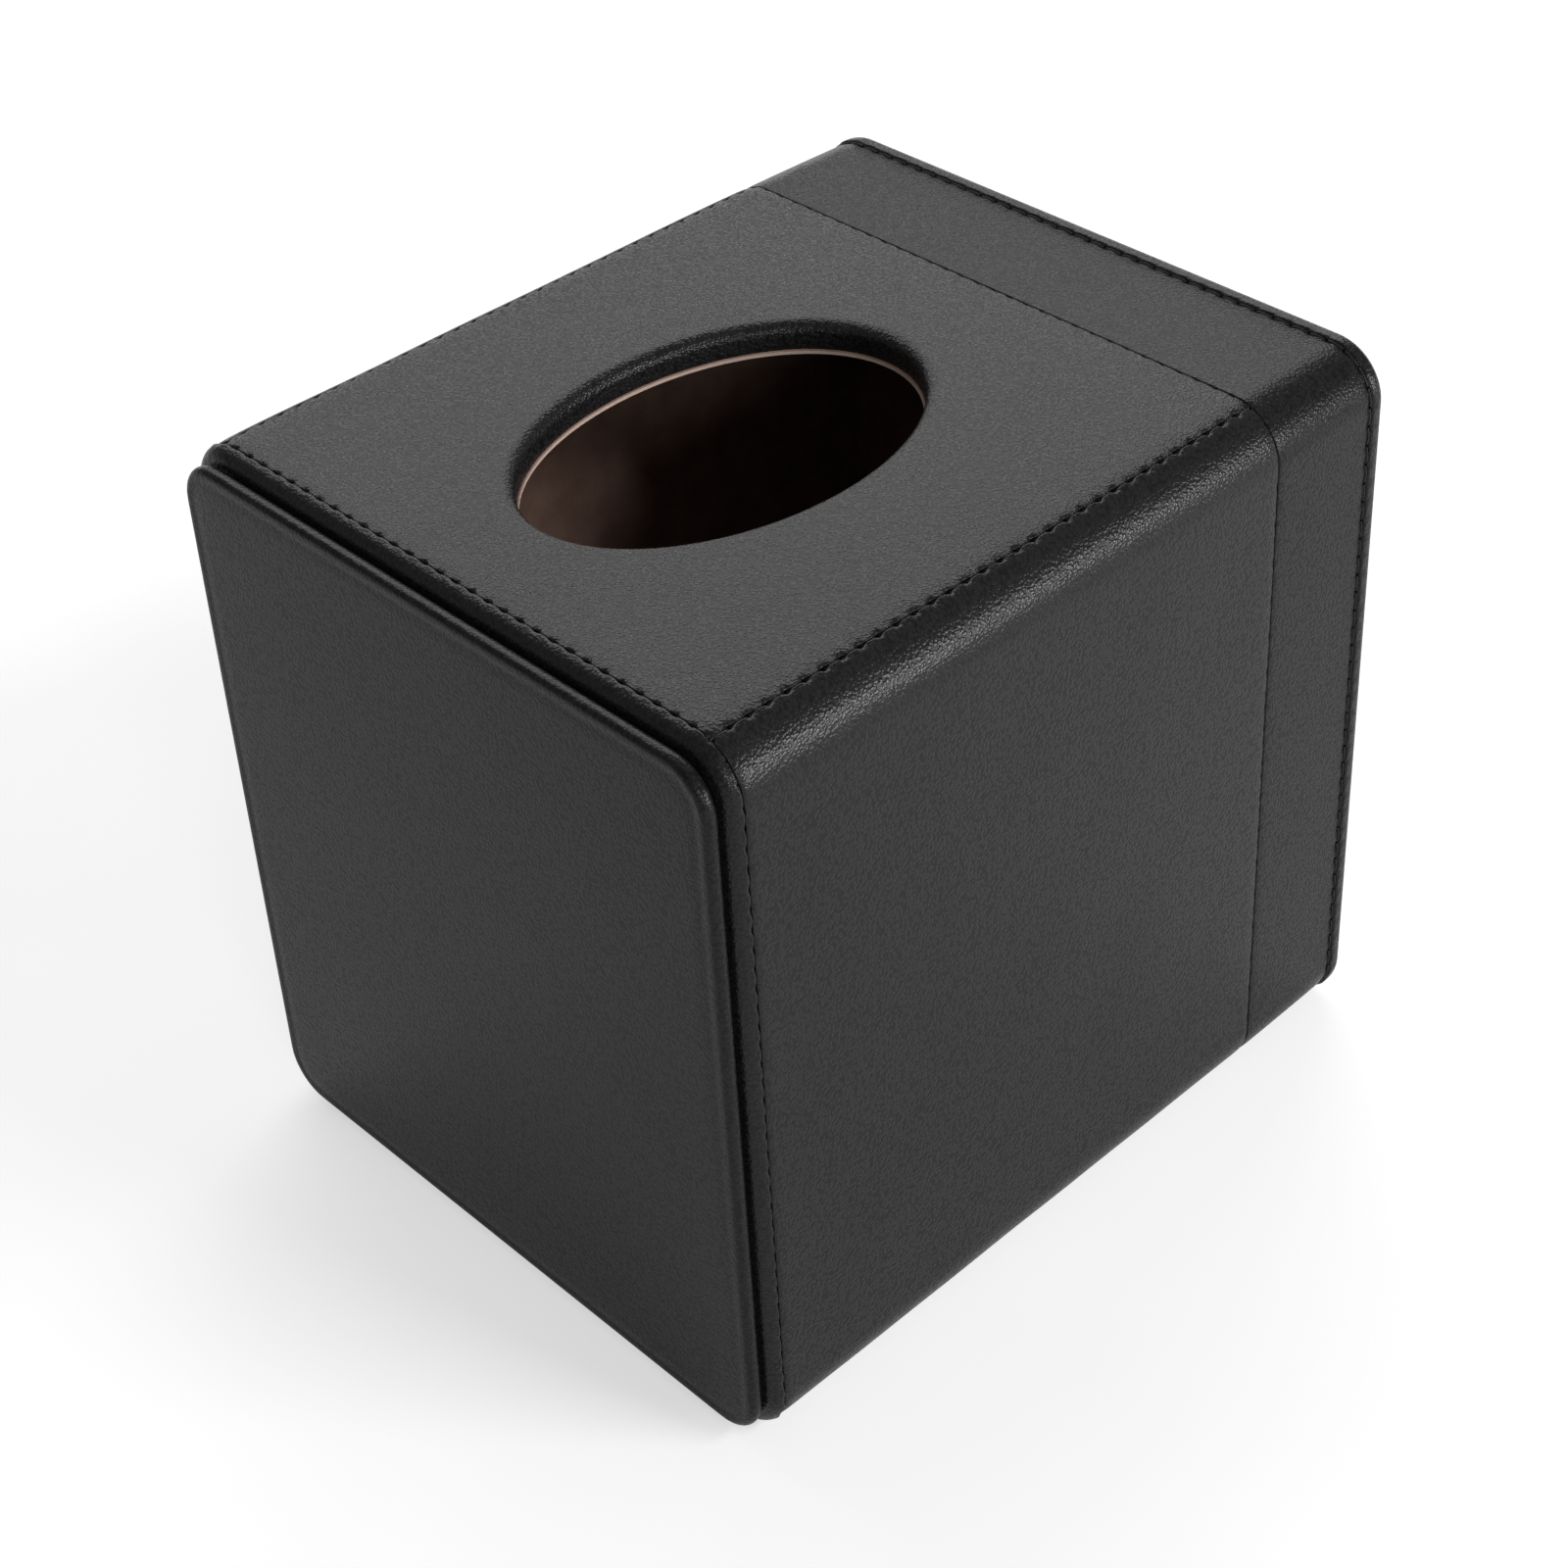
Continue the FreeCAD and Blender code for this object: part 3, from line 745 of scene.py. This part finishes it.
def front_rim():
    """The rim round the front: rolled over the edge, then turned in along the inner walls."""
    top_end = FLOOR_LEVEL + LEATHER
    side_end = HALF_WIDTH - INSIDE_HALF + LEATHER
    edge_centre = (FRONT_SEAM - HALF_GAP - RIM_EDGE_TURN, RIM_EDGE_TURN - RIM_BULGE)
    edge = bend_path(edge_centre, RIM_EDGE_TURN, 20, -90, 7)
    roll = bend_path((RIM_FRONT + RIM_ROLL, RIM_ROLL), RIM_ROLL, -100, -180, 14)
    roll[:, 1] -= RIM_BULGE * np.linspace(1, 0, len(roll)) ** 2
    turn_depth, turn_inset = RIM_FRONT + TURN_IN_ROLL, top_end - TURN_IN_ROLL
    face = straight_path((RIM_FRONT, RIM_ROLL), (RIM_FRONT, turn_inset), 6)
    inside = bend_path((turn_depth, turn_inset), TURN_IN_ROLL, 180, 90, 8)[1:]
    flange = straight_path((turn_depth, top_end), (TURN_IN_END, top_end), 8)
    path = np.concatenate([edge, roll[roll[:, 0] < edge[-1, 0]], face, inside, flange])
    side_share = (side_end - RIM_ROLL) / (top_end - RIM_ROLL)
    corner_share = (EDGE_RADIUS - RIM_ROLL - TURN_IN_RADIUS) / (top_end - RIM_ROLL)
    shares = (RIM_ROLL, side_share, corner_share)
    ripple = stitch_pull(path, edge[0, 0], FRONT_RIM_PULL) + gathers(path, FRONT_GATHER_START)
    piece, flat = rim_piece("front_rim_roll", path, shares, ripple, -RIM_LEATHER)
    return piece


def rear_rim():
    """The rim round the rear: rolled over the edge on to the rear face."""
    edge_centre = (REAR_SEAM + HALF_GAP + RIM_EDGE_TURN, RIM_EDGE_TURN - REAR_BULGE)
    edge = bend_path(edge_centre, RIM_EDGE_TURN, 160, 270, 7)
    roll = bend_path((REAR_FACE - REAR_ROLL, REAR_ROLL), REAR_ROLL, -90, 0, 14)
    lip_inset = REAR_MARGIN - REAR_LIP_GAP - REAR_LIP
    face = straight_path((REAR_FACE, REAR_ROLL), (REAR_FACE, lip_inset), 7)
    lip = bend_path((REAR_FACE - REAR_LIP, lip_inset), REAR_LIP, 0, 75, 6)[1:]
    path = np.concatenate([edge, roll[roll[:, 0] > edge[-1, 0]], face, lip])
    corner_share = (EDGE_RADIUS - REAR_ROLL - REAR_LIP_RADIUS) / (REAR_MARGIN - REAR_ROLL)
    ripple = stitch_pull(path, edge[0, 0], REAR_RIM_PULL) + gathers(path, REAR_GATHER_START)
    piece, flat = rim_piece("rear_rim_roll", path, (REAR_ROLL, 1.0, corner_share), ripple, RIM_LEATHER)
    return piece


# Slabs with a rounded outline: the door, its lining, the rear panel and the inner linings


def side_stations(outline, fine, coarse):
    """Stations of an outline's four sides, from corner to corner: over, right, under, left."""
    knots = outline_knots(*outline)
    corners = [(knots[k] + knots[k + 1]) / 2 for k in (1, 3, 5, 7)]
    ends = [(corners[3], corners[0] + knots[-1])] + list(zip(corners, corners[1:]))
    return [stations(np.mod(graded(*pair, fine, coarse), knots[-1]), knots) for pair in ends]


def slab_face(sides, outline):
    """X and Z of a grid that fills an outline."""
    top, east, bottom, west = (np.stack(place(side, *outline), axis=-1) for side in sides)
    bottom, west = bottom[::-1], west[::-1]
    u = ((top[:, 0] - top[0, 0]) / (top[-1, 0] - top[0, 0]))[None, :, None]
    v = ((west[:, 1] - west[0, 1]) / (west[-1, 1] - west[0, 1]))[:, None, None]
    sums = (1 - v) * top[None] + v * bottom[None] + (1 - u) * west[:, None] + u * east[:, None]
    ends = (1 - v) * ((1 - u) * top[0] + u * top[-1]) + v * ((1 - u) * bottom[0] + u * bottom[-1])
    return sums - ends


def drawn_in(outline, inset):
    """An outline drawn in by an inset all round."""
    half_width, low, high, radius = outline
    return half_width - inset, low + inset, high - inset, max(radius - inset, LEAST_RADIUS)


def edge_distance(x, z, outline):
    """How far points lie inside a rounded rectangle."""
    half_width, low, high, radius = outline
    over_x = np.abs(x) - (half_width - radius)
    over_z = np.abs(z - (low + high) / 2) - ((high - low) / 2 - radius)
    outside = np.hypot(np.maximum(over_x, 0), np.maximum(over_z, 0))
    return radius - outside - np.minimum(np.maximum(over_x, over_z), 0)


def slab(outline, path, front_form, fine, coarse):
    """Points and faces of a slab: a formed front, then an edge along a path of depths and insets.

    The points are X, depth and Z. The path starts at the front's edge and ends at the flat back."""
    sides = side_stations(outline, fine, coarse)
    edge = [np.concatenate([side[k][:-1] for side in sides]) for k in range(4)]
    face = slab_face(sides, drawn_in(outline, path[0][1]))
    back = slab_face(sides, drawn_in(outline, path[-1][1]))
    rows, columns = face.shape[:2]
    front = points_at(face[..., 0], front_form(face[..., 0], face[..., 1]), face[..., 1])
    rear = points_at(back[..., 0], path[-1][0], back[..., 1])
    rings = []
    for depth, inset in path[1:-1]:
        x, z = place(edge, *drawn_in(outline, inset))
        rings.append(points_at(x, depth, z))
    count, round_count = rows * columns, len(edge[0])
    rear_start = count + len(rings) * round_count
    loops = [np.arange(round_count) + count + k * round_count for k in range(len(rings))]
    loops = [border(rows, columns)] + loops + [border(rows, columns, rear_start)]
    faces = grid_faces(rows, columns) + flipped(grid_faces(rows, columns, rear_start))
    for first, second in zip(loops, loops[1:]):
        faces += flipped(bridge(first, second))
    return np.concatenate([front.reshape(-1, 3), *rings, rear.reshape(-1, 3)]), faces


def door_leather():
    """The door's leather: crowned over its foam, with a bead along the edge, turned round the board."""
    roll = bend_path((DOOR_FRONT + DOOR_ROLL, DOOR_ROLL), DOOR_ROLL, 180, 270, 12)
    back = bend_path((DOOR_BACK - DOOR_BACK_ROLL, DOOR_BACK_ROLL), DOOR_BACK_ROLL, -90, 0, 7)
    turned = DOOR_BACK_ROLL + DOOR_TURN_MARGIN
    ends = [(DOOR_BACK - DOOR_TURN_DEPTH, turned), (DOOR_FRONT + LEATHER, turned)]
    path = [tuple(point) for point in np.concatenate([roll, back])] + ends

    def crowned(x, z):
        distance = edge_distance(x, z, DOOR_OUTLINE)
        groove = DOOR_GROOVE * np.exp(-(((distance - DOOR_GROOVE_PLACE) / DOOR_GROOVE_REACH) ** 2))
        swell = -DOOR_SWELL * (1 - np.exp(-distance / DOOR_SWELL_REACH))
        fade = np.clip((distance - DOOR_ROLL) / DOOR_CALM, 0, 1)
        return DOOR_FRONT + fade * (groove + swell + unevenness(x, z, 21, *DOOR_WAVES))

    piece = make_piece("door_skin", *slab(DOOR_OUTLINE, path, crowned, *DOOR_STEPS), door_grain)
    return dress(piece, "door", "black_leather", "door_leather")


def soft_edge(front, back, roll):
    """A path of depths and insets round the edge of a thin sheet between two depths."""
    toward = 1 if back > front else -1
    first = [(front + toward * roll * (1 - math.cos(a)), roll * (1 - math.sin(a)))
             for a in np.linspace(0, math.pi / 2, 5)]
    last = [(back - toward * roll * (1 - math.sin(a)), roll * (1 - math.cos(a)))
            for a in np.linspace(0, math.pi / 2, 5)]
    return first + last


def thin_sheet(name, outline, front, back, roll, material, seed, swell=0.0, axes=(0, 1, 2)):
    """A sheet with soft edges and a slightly uneven face. Axes say where X, depth and Z of it go."""
    toward = -1 if back > front else 1

    def face(x, z):
        distance = edge_distance(x, z, outline)
        fade = 1 - np.exp(-np.maximum(distance - roll, 0) / SHEET_CALM)
        return front + toward * fade * (swell + unevenness(x, z, seed, *SHEET_WAVES))

    points, faces = slab(outline, soft_edge(front, back, roll), face, *SHEET_STEPS)
    return make_piece(name, points[:, axes], faces, material)


def door_inside():
    """The lining on the door's back."""
    outline = drawn_in(DOOR_OUTLINE, DOOR_BACK_ROLL + DOOR_LINING_MARGIN)
    front, back = DOOR_BACK - DOOR_PLAY, DOOR_BACK - DOOR_LINING
    piece = thin_sheet("door_lining_sheet", outline, front, back, DOOR_LINING_MARGIN, lining, 31)
    return dress(piece, "door", "brown_lining", "door_lining")


def rear_panel():
    """The leather panel inside the rear rim, a little crowned."""
    inset = REAR_MARGIN + HALF_GAP
    outline = (HALF_WIDTH - inset, inset, HEIGHT - inset, REAR_PANEL_RADIUS)
    back = REAR_FACE - LEATHER
    piece = thin_sheet(
        "rear_panel_sheet", outline, REAR_FACE, back, REAR_LIP, leather, 41, REAR_PANEL_SWELL
    )
    return dress(piece, "cover", "black_leather", "rear_panel")


def wall_linings():
    """Linings of the two sides, the rear and the floor."""
    middle, half_depth = (LINING_START + LINING_END) / 2, (LINING_END - LINING_START) / 2
    low, high = FLOOR_LEVEL + LINING, CEILING - LINING
    side = (half_depth, low, high, LINING_RADIUS)
    rear = (INSIDE_HALF - LINING, low, high, LINING_RADIUS)
    floor = (INSIDE_HALF, LINING_START, LINING_END, LINING_RADIUS)
    for name, outline, front, back, seed, swell, axes in (
        ("left", side, LINING - INSIDE_HALF, -INSIDE_HALF, 51, LINING_SWELL, (1, 0, 2)),
        ("right", side, INSIDE_HALF - LINING, INSIDE_HALF, 52, LINING_SWELL, (1, 0, 2)),
        ("rear", rear, LINING_END - LINING, LINING_END, 53, LINING_SWELL, (0, 1, 2)),
        ("bottom", floor, low, FLOOR_LEVEL, 54, 0.0, (0, 2, 1)),
    ):
        piece = thin_sheet(
            f"{name}_lining_sheet", outline, front, back, LINING_EDGE, lining, seed, swell, axes
        )
        if outline is side:
            piece.data.transform(Matrix.Translation((0, middle * MM, 0)))
        dress(piece, "cover", "brown_lining", f"{name}_lining")


def mouth_sheet(name, half_width, front, rear, margin, top, bottom, *materials):
    """A flat sheet with the oval cut out of it. The second material is for the cut edge."""
    shares = graded(0.0, 1.0, *MOUTH_SHARE_STEPS)
    x, y, _ = spoke_rows(half_width, front, rear, margin, shares)
    edge = [points_at(x[0], y[0], level) for level in np.linspace(bottom, top, 5)[-2:0:-1]]
    under = np.concatenate([np.array(edge), points_at(x, y, bottom)])
    piece = make_piece(name, *hoop(points_at(x, y, top), under), *materials)
    if len(materials) > 1:
        columns = x.shape[1]
        strips = len(edge) + 1
        for face in piece.data.polygons[-columns * strips:-columns]:
            face.material_index = 1
            face.use_smooth = False
    return piece


def top_lining():
    """The lining under the top, whose pale cut edge shows in the mouth."""
    piece = mouth_sheet(
        "top_lining_sheet", INSIDE_HALF, LINING_START, LINING_END, -LINING_EDGE, CEILING, CEILING - LINING,
        lining, cut_edge,
    )
    return dress(piece, "cover", "brown_lining", "top_lining")


def foam_pads():
    """The thin foam under the leather: the sleeve's, with the mouth in it, the rear's and the door's."""
    inset, depth = LEATHER + FOAM_PLAY, np.linspace(BOARD_FRONT, BOARD_REAR, FOAM_COLUMNS)[None, :]
    rows = [FOAM_BEND_ROWS, FOAM_FLAT_ROWS] * 3 + [FOAM_BEND_ROWS]
    arc = np.concatenate([
        np.linspace(start, end, count, endpoint=False)
        for start, end, count in zip(SLEEVE_KNOTS[1:8], SLEEVE_KNOTS[2:9], rows)
    ] + [SLEEVE_KNOTS[8:9]])[:, None]
    outer = on_sleeve(arc, depth, inset)
    inner = on_sleeve(arc, depth, LEATHER + FOAM - FOAM_PLAY)
    wrap = make_piece("foam_sleeve_pad", *shell(outer, inner), foam)
    top = mouth_sheet(
        "foam_top_pad", HALF_WIDTH - EDGE_RADIUS - FOAM_PLAY, BOARD_FRONT, BOARD_REAR,
        LEATHER + FOAM + FOAM_MOUTH_MARGIN, HEIGHT - inset, HEIGHT - LEATHER - FOAM + FOAM_PLAY, foam,
    )
    outline = (HALF_WIDTH - inset, inset, HEIGHT - inset, EDGE_RADIUS - inset)
    front = REAR_FACE - LEATHER - FOAM_PLAY
    rear = thin_sheet("rear_foam_pad", outline, front, BOARD_REAR, REAR_FOAM_EDGE, foam, 61)
    door_outline = drawn_in(DOOR_OUTLINE, DOOR_BACK_ROLL + DOOR_LINING_MARGIN)
    front = DOOR_FRONT + LEATHER
    door = thin_sheet(
        "door_foam_pad", door_outline, front + DOOR_PLAY, front + DOOR_FOAM,
        DOOR_LINING_MARGIN, foam, 62, -DOOR_FOAM_HOLLOW,
    )
    for piece, body, solid in (
        (wrap, "cover", "foam_sleeve"), (top, "cover", "foam_sleeve"),
        (rear, "cover", "rear_foam"), (door, "door", "door_foam"),
    ):
        dress(piece, body, "foam", solid)


def hinge_strip():
    """The folded leather in the gap behind the door's left edge: one half on the rim, one on the door."""
    middle, half = (DOOR_BACK + RIM_FRONT) / 2, (RIM_FRONT - DOOR_BACK) / 2 - HINGE_PLAY
    levels = graded(DOOR_LOW + DOOR_RADIUS, DOOR_TOP - DOOR_RADIUS, *HINGE_STEPS)
    across = np.linspace(HINGE_FOLD + HINGE_WIDTH, HINGE_FOLD, 9)
    turn = np.radians(np.linspace(90, 270, 19))[1:-1]
    flat = np.ones_like(across)

    def folded(radius):
        x = np.concatenate([across, HINGE_FOLD + radius * np.cos(turn), across[::-1]])
        y = middle + radius * np.concatenate([flat, np.sin(turn), -flat])
        return points_at(x, y, levels[:, None])

    piece = make_piece("hinge_leather", *shell(folded(half), folded(HINGE_SLIT)), leather)
    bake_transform(piece)
    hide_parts("hinge_strip")
    return piece


# Stitches


def stitch_tree():
    """Geometry nodes that lay bent lengths of thread along a seam."""
    tree = bpy.data.node_groups.new("seam_stitches", "GeometryNodeTree")
    tree.interface.new_socket("Geometry", in_out="INPUT", socket_type="NodeSocketGeometry")
    for name, kind in (
        ("Stitches", "Int"), ("Stitch length", "Float"), ("Thread radius", "Float"),
        ("Rise", "Float"), ("Seed", "Int"), ("Thread", "Material"),
    ):
        tree.interface.new_socket(name, in_out="INPUT", socket_type=f"NodeSocket{kind}")
    tree.interface.new_socket("Geometry", in_out="OUTPUT", socket_type="NodeSocketGeometry")
    given = node(tree, "NodeGroupInput").outputs
    half, back, low = (
        node(tree, "ShaderNodeMath", {0: given[name], 1: share}, operation="MULTIPLY").outputs[0]
        for name, share in (("Stitch length", 0.5), ("Stitch length", -0.5), ("Rise", -1.0))
    )
    ends = [node(tree, "ShaderNodeCombineXYZ", {"X": side, "Z": low}).outputs[0] for side in (back, half)]
    peak = node(tree, "ShaderNodeCombineXYZ", {"Z": given["Rise"]}).outputs[0]
    bend = node(
        tree, "GeometryNodeCurveQuadraticBezier",
        {"Resolution": 6, "Start": ends[0], "Middle": peak, "End": ends[1]},
    ).outputs["Curve"]
    section = node(
        tree, "GeometryNodeCurvePrimitiveCircle", {"Resolution": 6, "Radius": given["Thread radius"]}
    ).outputs["Curve"]
    one = node(
        tree, "GeometryNodeCurveToMesh", {"Curve": bend, "Profile Curve": section, "Fill Caps": True}
    )
    seam = node(tree, "GeometryNodeMeshToCurve", {"Mesh": given["Geometry"]}).outputs["Curve"]
    spaced = node(tree, "GeometryNodeResampleCurve", {"Curve": seam, "Count": given["Stitches"]})
    outward = node(tree, "GeometryNodeInputNamedAttribute", {"Name": "outward"}, data_type="FLOAT_VECTOR")
    along = node(tree, "GeometryNodeInputTangent").outputs["Tangent"]
    turn = node(
        tree, "FunctionNodeAxesToRotation",
        {"Primary Axis": outward.outputs["Attribute"], "Secondary Axis": along},
        primary_axis="Z", secondary_axis="X",
    ).outputs["Rotation"]
    size = node(
        tree, "FunctionNodeRandomValue",
        {"Min": (0.93, 0.9, 0.9), "Max": (1.05, 1.1, 1.1), "Seed": given["Seed"]},
        data_type="FLOAT_VECTOR",
    ).outputs["Value"]
    laid = node(
        tree, "GeometryNodeInstanceOnPoints",
        {
            "Points": spaced.outputs["Curve"], "Instance": one.outputs["Mesh"],
            "Rotation": turn, "Scale": size,
        },
    )
    real = node(tree, "GeometryNodeRealizeInstances", {"Geometry": laid.outputs["Instances"]})
    smooth = node(tree, "GeometryNodeSetShadeSmooth", {"Geometry": real.outputs["Geometry"]})
    done = node(
        tree, "GeometryNodeSetMaterial",
        {"Geometry": smooth.outputs["Geometry"], "Material": given["Thread"]},
    )
    out = node(tree, "NodeGroupOutput")
    tree.links.new(done.outputs["Geometry"], out.inputs["Geometry"])
    return tree


def seam_line(name, points, outward, closed):
    """A line of points along a seam that carries the outward direction."""
    count = len(points)
    edges = [(k, k + 1) for k in range(count - 1)] + ([(count - 1, 0)] if closed else [])
    mesh = bpy.data.meshes.new(name)
    mesh.from_pydata((np.asarray(points) * MM).tolist(), edges, [])
    attribute = mesh.attributes.new("outward", "FLOAT_VECTOR", "POINT")
    attribute.data.foreach_set("vector", np.asarray(outward, np.float32).ravel())
    return add_object(name, mesh)


def sew(tree, name, line, count, radius, rise, seed, solid):
    """Run the stitch nodes along a seam line and keep the result as a plain mesh."""
    modifier = line.modifiers.new("stitches", "NODES")
    modifier.node_group = tree
    values = {
        "Stitches": count, "Stitch length": STITCH_LENGTH * MM, "Thread radius": radius * MM,
        "Rise": rise * MM, "Seed": seed, "Thread": thread,
    }
    for item in tree.interface.items_tree:
        if item.in_out == "INPUT" and item.name in values:
            modifier[item.identifier] = values[item.name]
    bpy.context.view_layer.update()
    depsgraph = bpy.context.evaluated_depsgraph_get()
    mesh = bpy.data.meshes.new_from_object(line.evaluated_get(depsgraph), depsgraph=depsgraph)
    line.modifiers.remove(modifier)
    bpy.data.objects.remove(line)
    mesh.name = name
    return dress(add_object(name, mesh), "cover", "black_thread", solid)


def sew_seams():
    """The stitches of every seam."""
    tree = stitch_tree()
    where = stations(RING_ARC, SLEEVE_KNOTS)
    ring_out = np.stack([where[2], np.zeros(RING_COLUMNS), where[3]], axis=1)
    for name, depth, sink, seed in (
        ("front", FRONT_SEAM, FRONT_SINK, 1), ("cross", CROSS_SEAM, CROSS_SINK, 2),
        ("rear", REAR_SEAM, REAR_SINK, 3),
    ):
        line = seam_line(f"{name}_seam", on_sleeve(RING_ARC, depth, sink), ring_out, True)
        sew(tree, f"{name}_stitches", line, RING_STITCHES, RING_THREAD, RING_RISE, seed, f"{name}_thread")
    depth = np.linspace(FRONT_SEAM + LONG_PITCH / 2, CROSS_SEAM - LONG_PITCH / 2, LONG_SEAM_POINTS)
    for seed, (name, arc) in enumerate((
        ("top_right", LONG_SEAM), ("top_left", -LONG_SEAM),
        ("bottom_right", HALF_ROUND - LONG_SEAM), ("bottom_left", HALF_ROUND + LONG_SEAM),
    ), start=4):
        _, _, out_x, out_z = stations(np.mod(arc, SLEEVE_ROUND), SLEEVE_KNOTS)
        outward = np.tile([out_x, 0.0, out_z], (len(depth), 1))
        points = on_sleeve(np.full(len(depth), arc), depth, LONG_SINK)
        line = seam_line(f"{name}_seam", points, outward, False)
        sew(tree, f"{name}_stitches", line, LONG_STITCHES, LONG_THREAD, LONG_RISE, seed, f"{name}_thread")


# Build the pieces

dress(top_panel(), "cover", "black_leather", "top_leather")
for side_name, start_arc, end_arc, side_seed, side_solid in (
    ("right_panel", LONG_SEAM, HALF_ROUND - LONG_SEAM, 12, "right_leather"),
    ("bottom_panel", HALF_ROUND - LONG_SEAM, HALF_ROUND + LONG_SEAM, 13, "bottom_leather"),
    ("left_panel", HALF_ROUND + LONG_SEAM, SLEEVE_ROUND - LONG_SEAM, 14, "left_leather"),
):
    dress(sleeve_panel(side_name, start_arc, end_arc, side_seed), "cover", "black_leather", side_solid)
dress(rear_band(), "cover", "black_leather", "rear_band")
dress(front_rim(), "cover", "black_leather", "front_rim")
dress(rear_rim(), "cover", "black_leather", "rear_rim")
rear_panel()
door_leather()
door_inside()
wall_linings()
top_lining()
foam_pads()
hinge_strip()
sew_seams()

fibreboard, grey_board = (
    fibre_material(name, tones, per_mm, 5.0, (0.75, 0.95), 0.08)
    for name, tones, per_mm in (
        ("board_wood", ((0.4, 0.28, 0.17), (0.56, 0.42, 0.28)), 1.2),
        ("grey_board", ((0.34, 0.33, 0.31), (0.47, 0.46, 0.44)), 1.6),
    )
)
steel = steel_material()
for solid_name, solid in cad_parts.items():
    if solid_name == "door_board":
        solid.data.materials[0] = grey_board
    elif solid_name.endswith("_board"):
        solid.data.materials[0] = fibreboard
    elif solid_name.endswith(("_magnet", "_keeper")):
        solid.data.materials[0] = steel


# Floor, light and camera


def floor_material():
    """A pale matt floor, lifted to white for the camera and by a share in reflections."""
    material, tree, shader, place_mm = new_material("pale_floor")
    grain = noise(tree, place_mm, 0.02, 2.0)
    tree.links.new(mixed(tree, grain, (0.56, 0.56, 0.56), (0.6, 0.6, 0.6)), shader.inputs["Base Color"])
    shader.inputs["Roughness"].default_value = 0.9
    shader.inputs["Specular IOR Level"].default_value = 0.0
    path = node(tree, "ShaderNodeLightPath").outputs
    seen = path["Is Camera Ray"]
    for kind in ("Is Glossy Ray", "Is Transmission Ray"):
        seen = summed(tree, seen, path[kind], MIRRORED_SHARE)
    lift = node(tree, "ShaderNodeMath", {0: seen, 1: FLOOR_LIFT}, operation="MULTIPLY").outputs[0]
    shader.inputs["Emission Color"].default_value = (1, 1, 1, 1)
    tree.links.new(lift, shader.inputs["Emission Strength"])
    return material


def make_floor():
    """A wide floor under the cover."""
    steps = np.linspace(-STAGE_HALF, STAGE_HALF, STAGE_TILES + 1)
    x, y = np.meshgrid(steps, steps, indexing="ij")
    mesh = bpy.data.meshes.new("floor")
    points = points_at(x, y, -STAGE_DROP).reshape(-1, 3)
    mesh.from_pydata(points.tolist(), [], grid_faces(*x.shape))
    mesh.materials.append(floor_material())
    add_object("floor", mesh)


def softbox(name, azimuth, elevation, width, height, radiance, mirrored=True):
    """A soft panel of light that faces the cover, mirrored in the leather or not.

    Azimuth is from +X towards +Y, and sizes are metres."""
    a, e = math.radians(azimuth), math.radians(elevation)
    back = Vector((math.cos(a) * math.cos(e), math.sin(a) * math.cos(e), math.sin(e)))
    lamp = bpy.data.lights.new(name, "AREA")
    lamp.shape = "RECTANGLE"
    lamp.size, lamp.size_y = width, height
    lamp.energy = radiance * math.pi * width * height
    panel = add_object(name, lamp)
    panel.location = Vector(PANEL_TARGET) + back * PANEL_DISTANCE
    panel.rotation_mode = "QUATERNION"
    panel.rotation_quaternion = back.to_track_quat("Z", "Y")
    panel.visible_camera = False
    panel.visible_glossy = mirrored


def make_world():
    """A plain grey room."""
    world = bpy.data.worlds.new("studio")
    world.use_nodes = True
    background = world.node_tree.nodes["Background"]
    background.inputs["Color"].default_value = (1, 1, 1, 1)
    background.inputs["Strength"].default_value = WORLD_LEVEL
    bpy.context.scene.world = world


def make_camera():
    """The photograph's view, for a square picture."""
    lens = bpy.data.cameras.new("camera")
    lens.sensor_width = SENSOR_WIDTH
    lens.lens = SENSOR_WIDTH * FOCAL_PIXELS / PICTURE_PIXELS
    lens.shift_x = (PICTURE_PIXELS / 2 - PICTURE_MIDDLE[0]) / PICTURE_PIXELS
    lens.shift_y = (PICTURE_MIDDLE[1] - PICTURE_PIXELS / 2) / PICTURE_PIXELS
    lens.clip_start, lens.clip_end = CAMERA_CLIP
    camera = add_object("camera", lens)
    right, up, ahead = (Vector(axis).normalized() for axis in (CAMERA_RIGHT, CAMERA_UP, CAMERA_AHEAD))
    turn = Matrix((right, up, -ahead)).transposed().to_4x4()
    camera.matrix_world = Matrix.Translation(Vector(CAMERA_PLACE)) @ turn
    bpy.context.scene.camera = camera


make_floor()
make_world()
softbox("left_panel", 148, 46, 2.0, 1.0, 2.6)
softbox("back_panel", 142, 5, 2.2, 0.25, 2.2)
softbox("right_panel", 25, 11, 0.95, 0.3, 14.0)
softbox("front_panel", -27, 19, 0.35, 0.45, 9.0)
softbox("mouth_panel", 22, 40, 0.6, 0.25, 22.0, mirrored=False)
make_camera()
bpy.context.scene.view_settings.view_transform = "Standard"
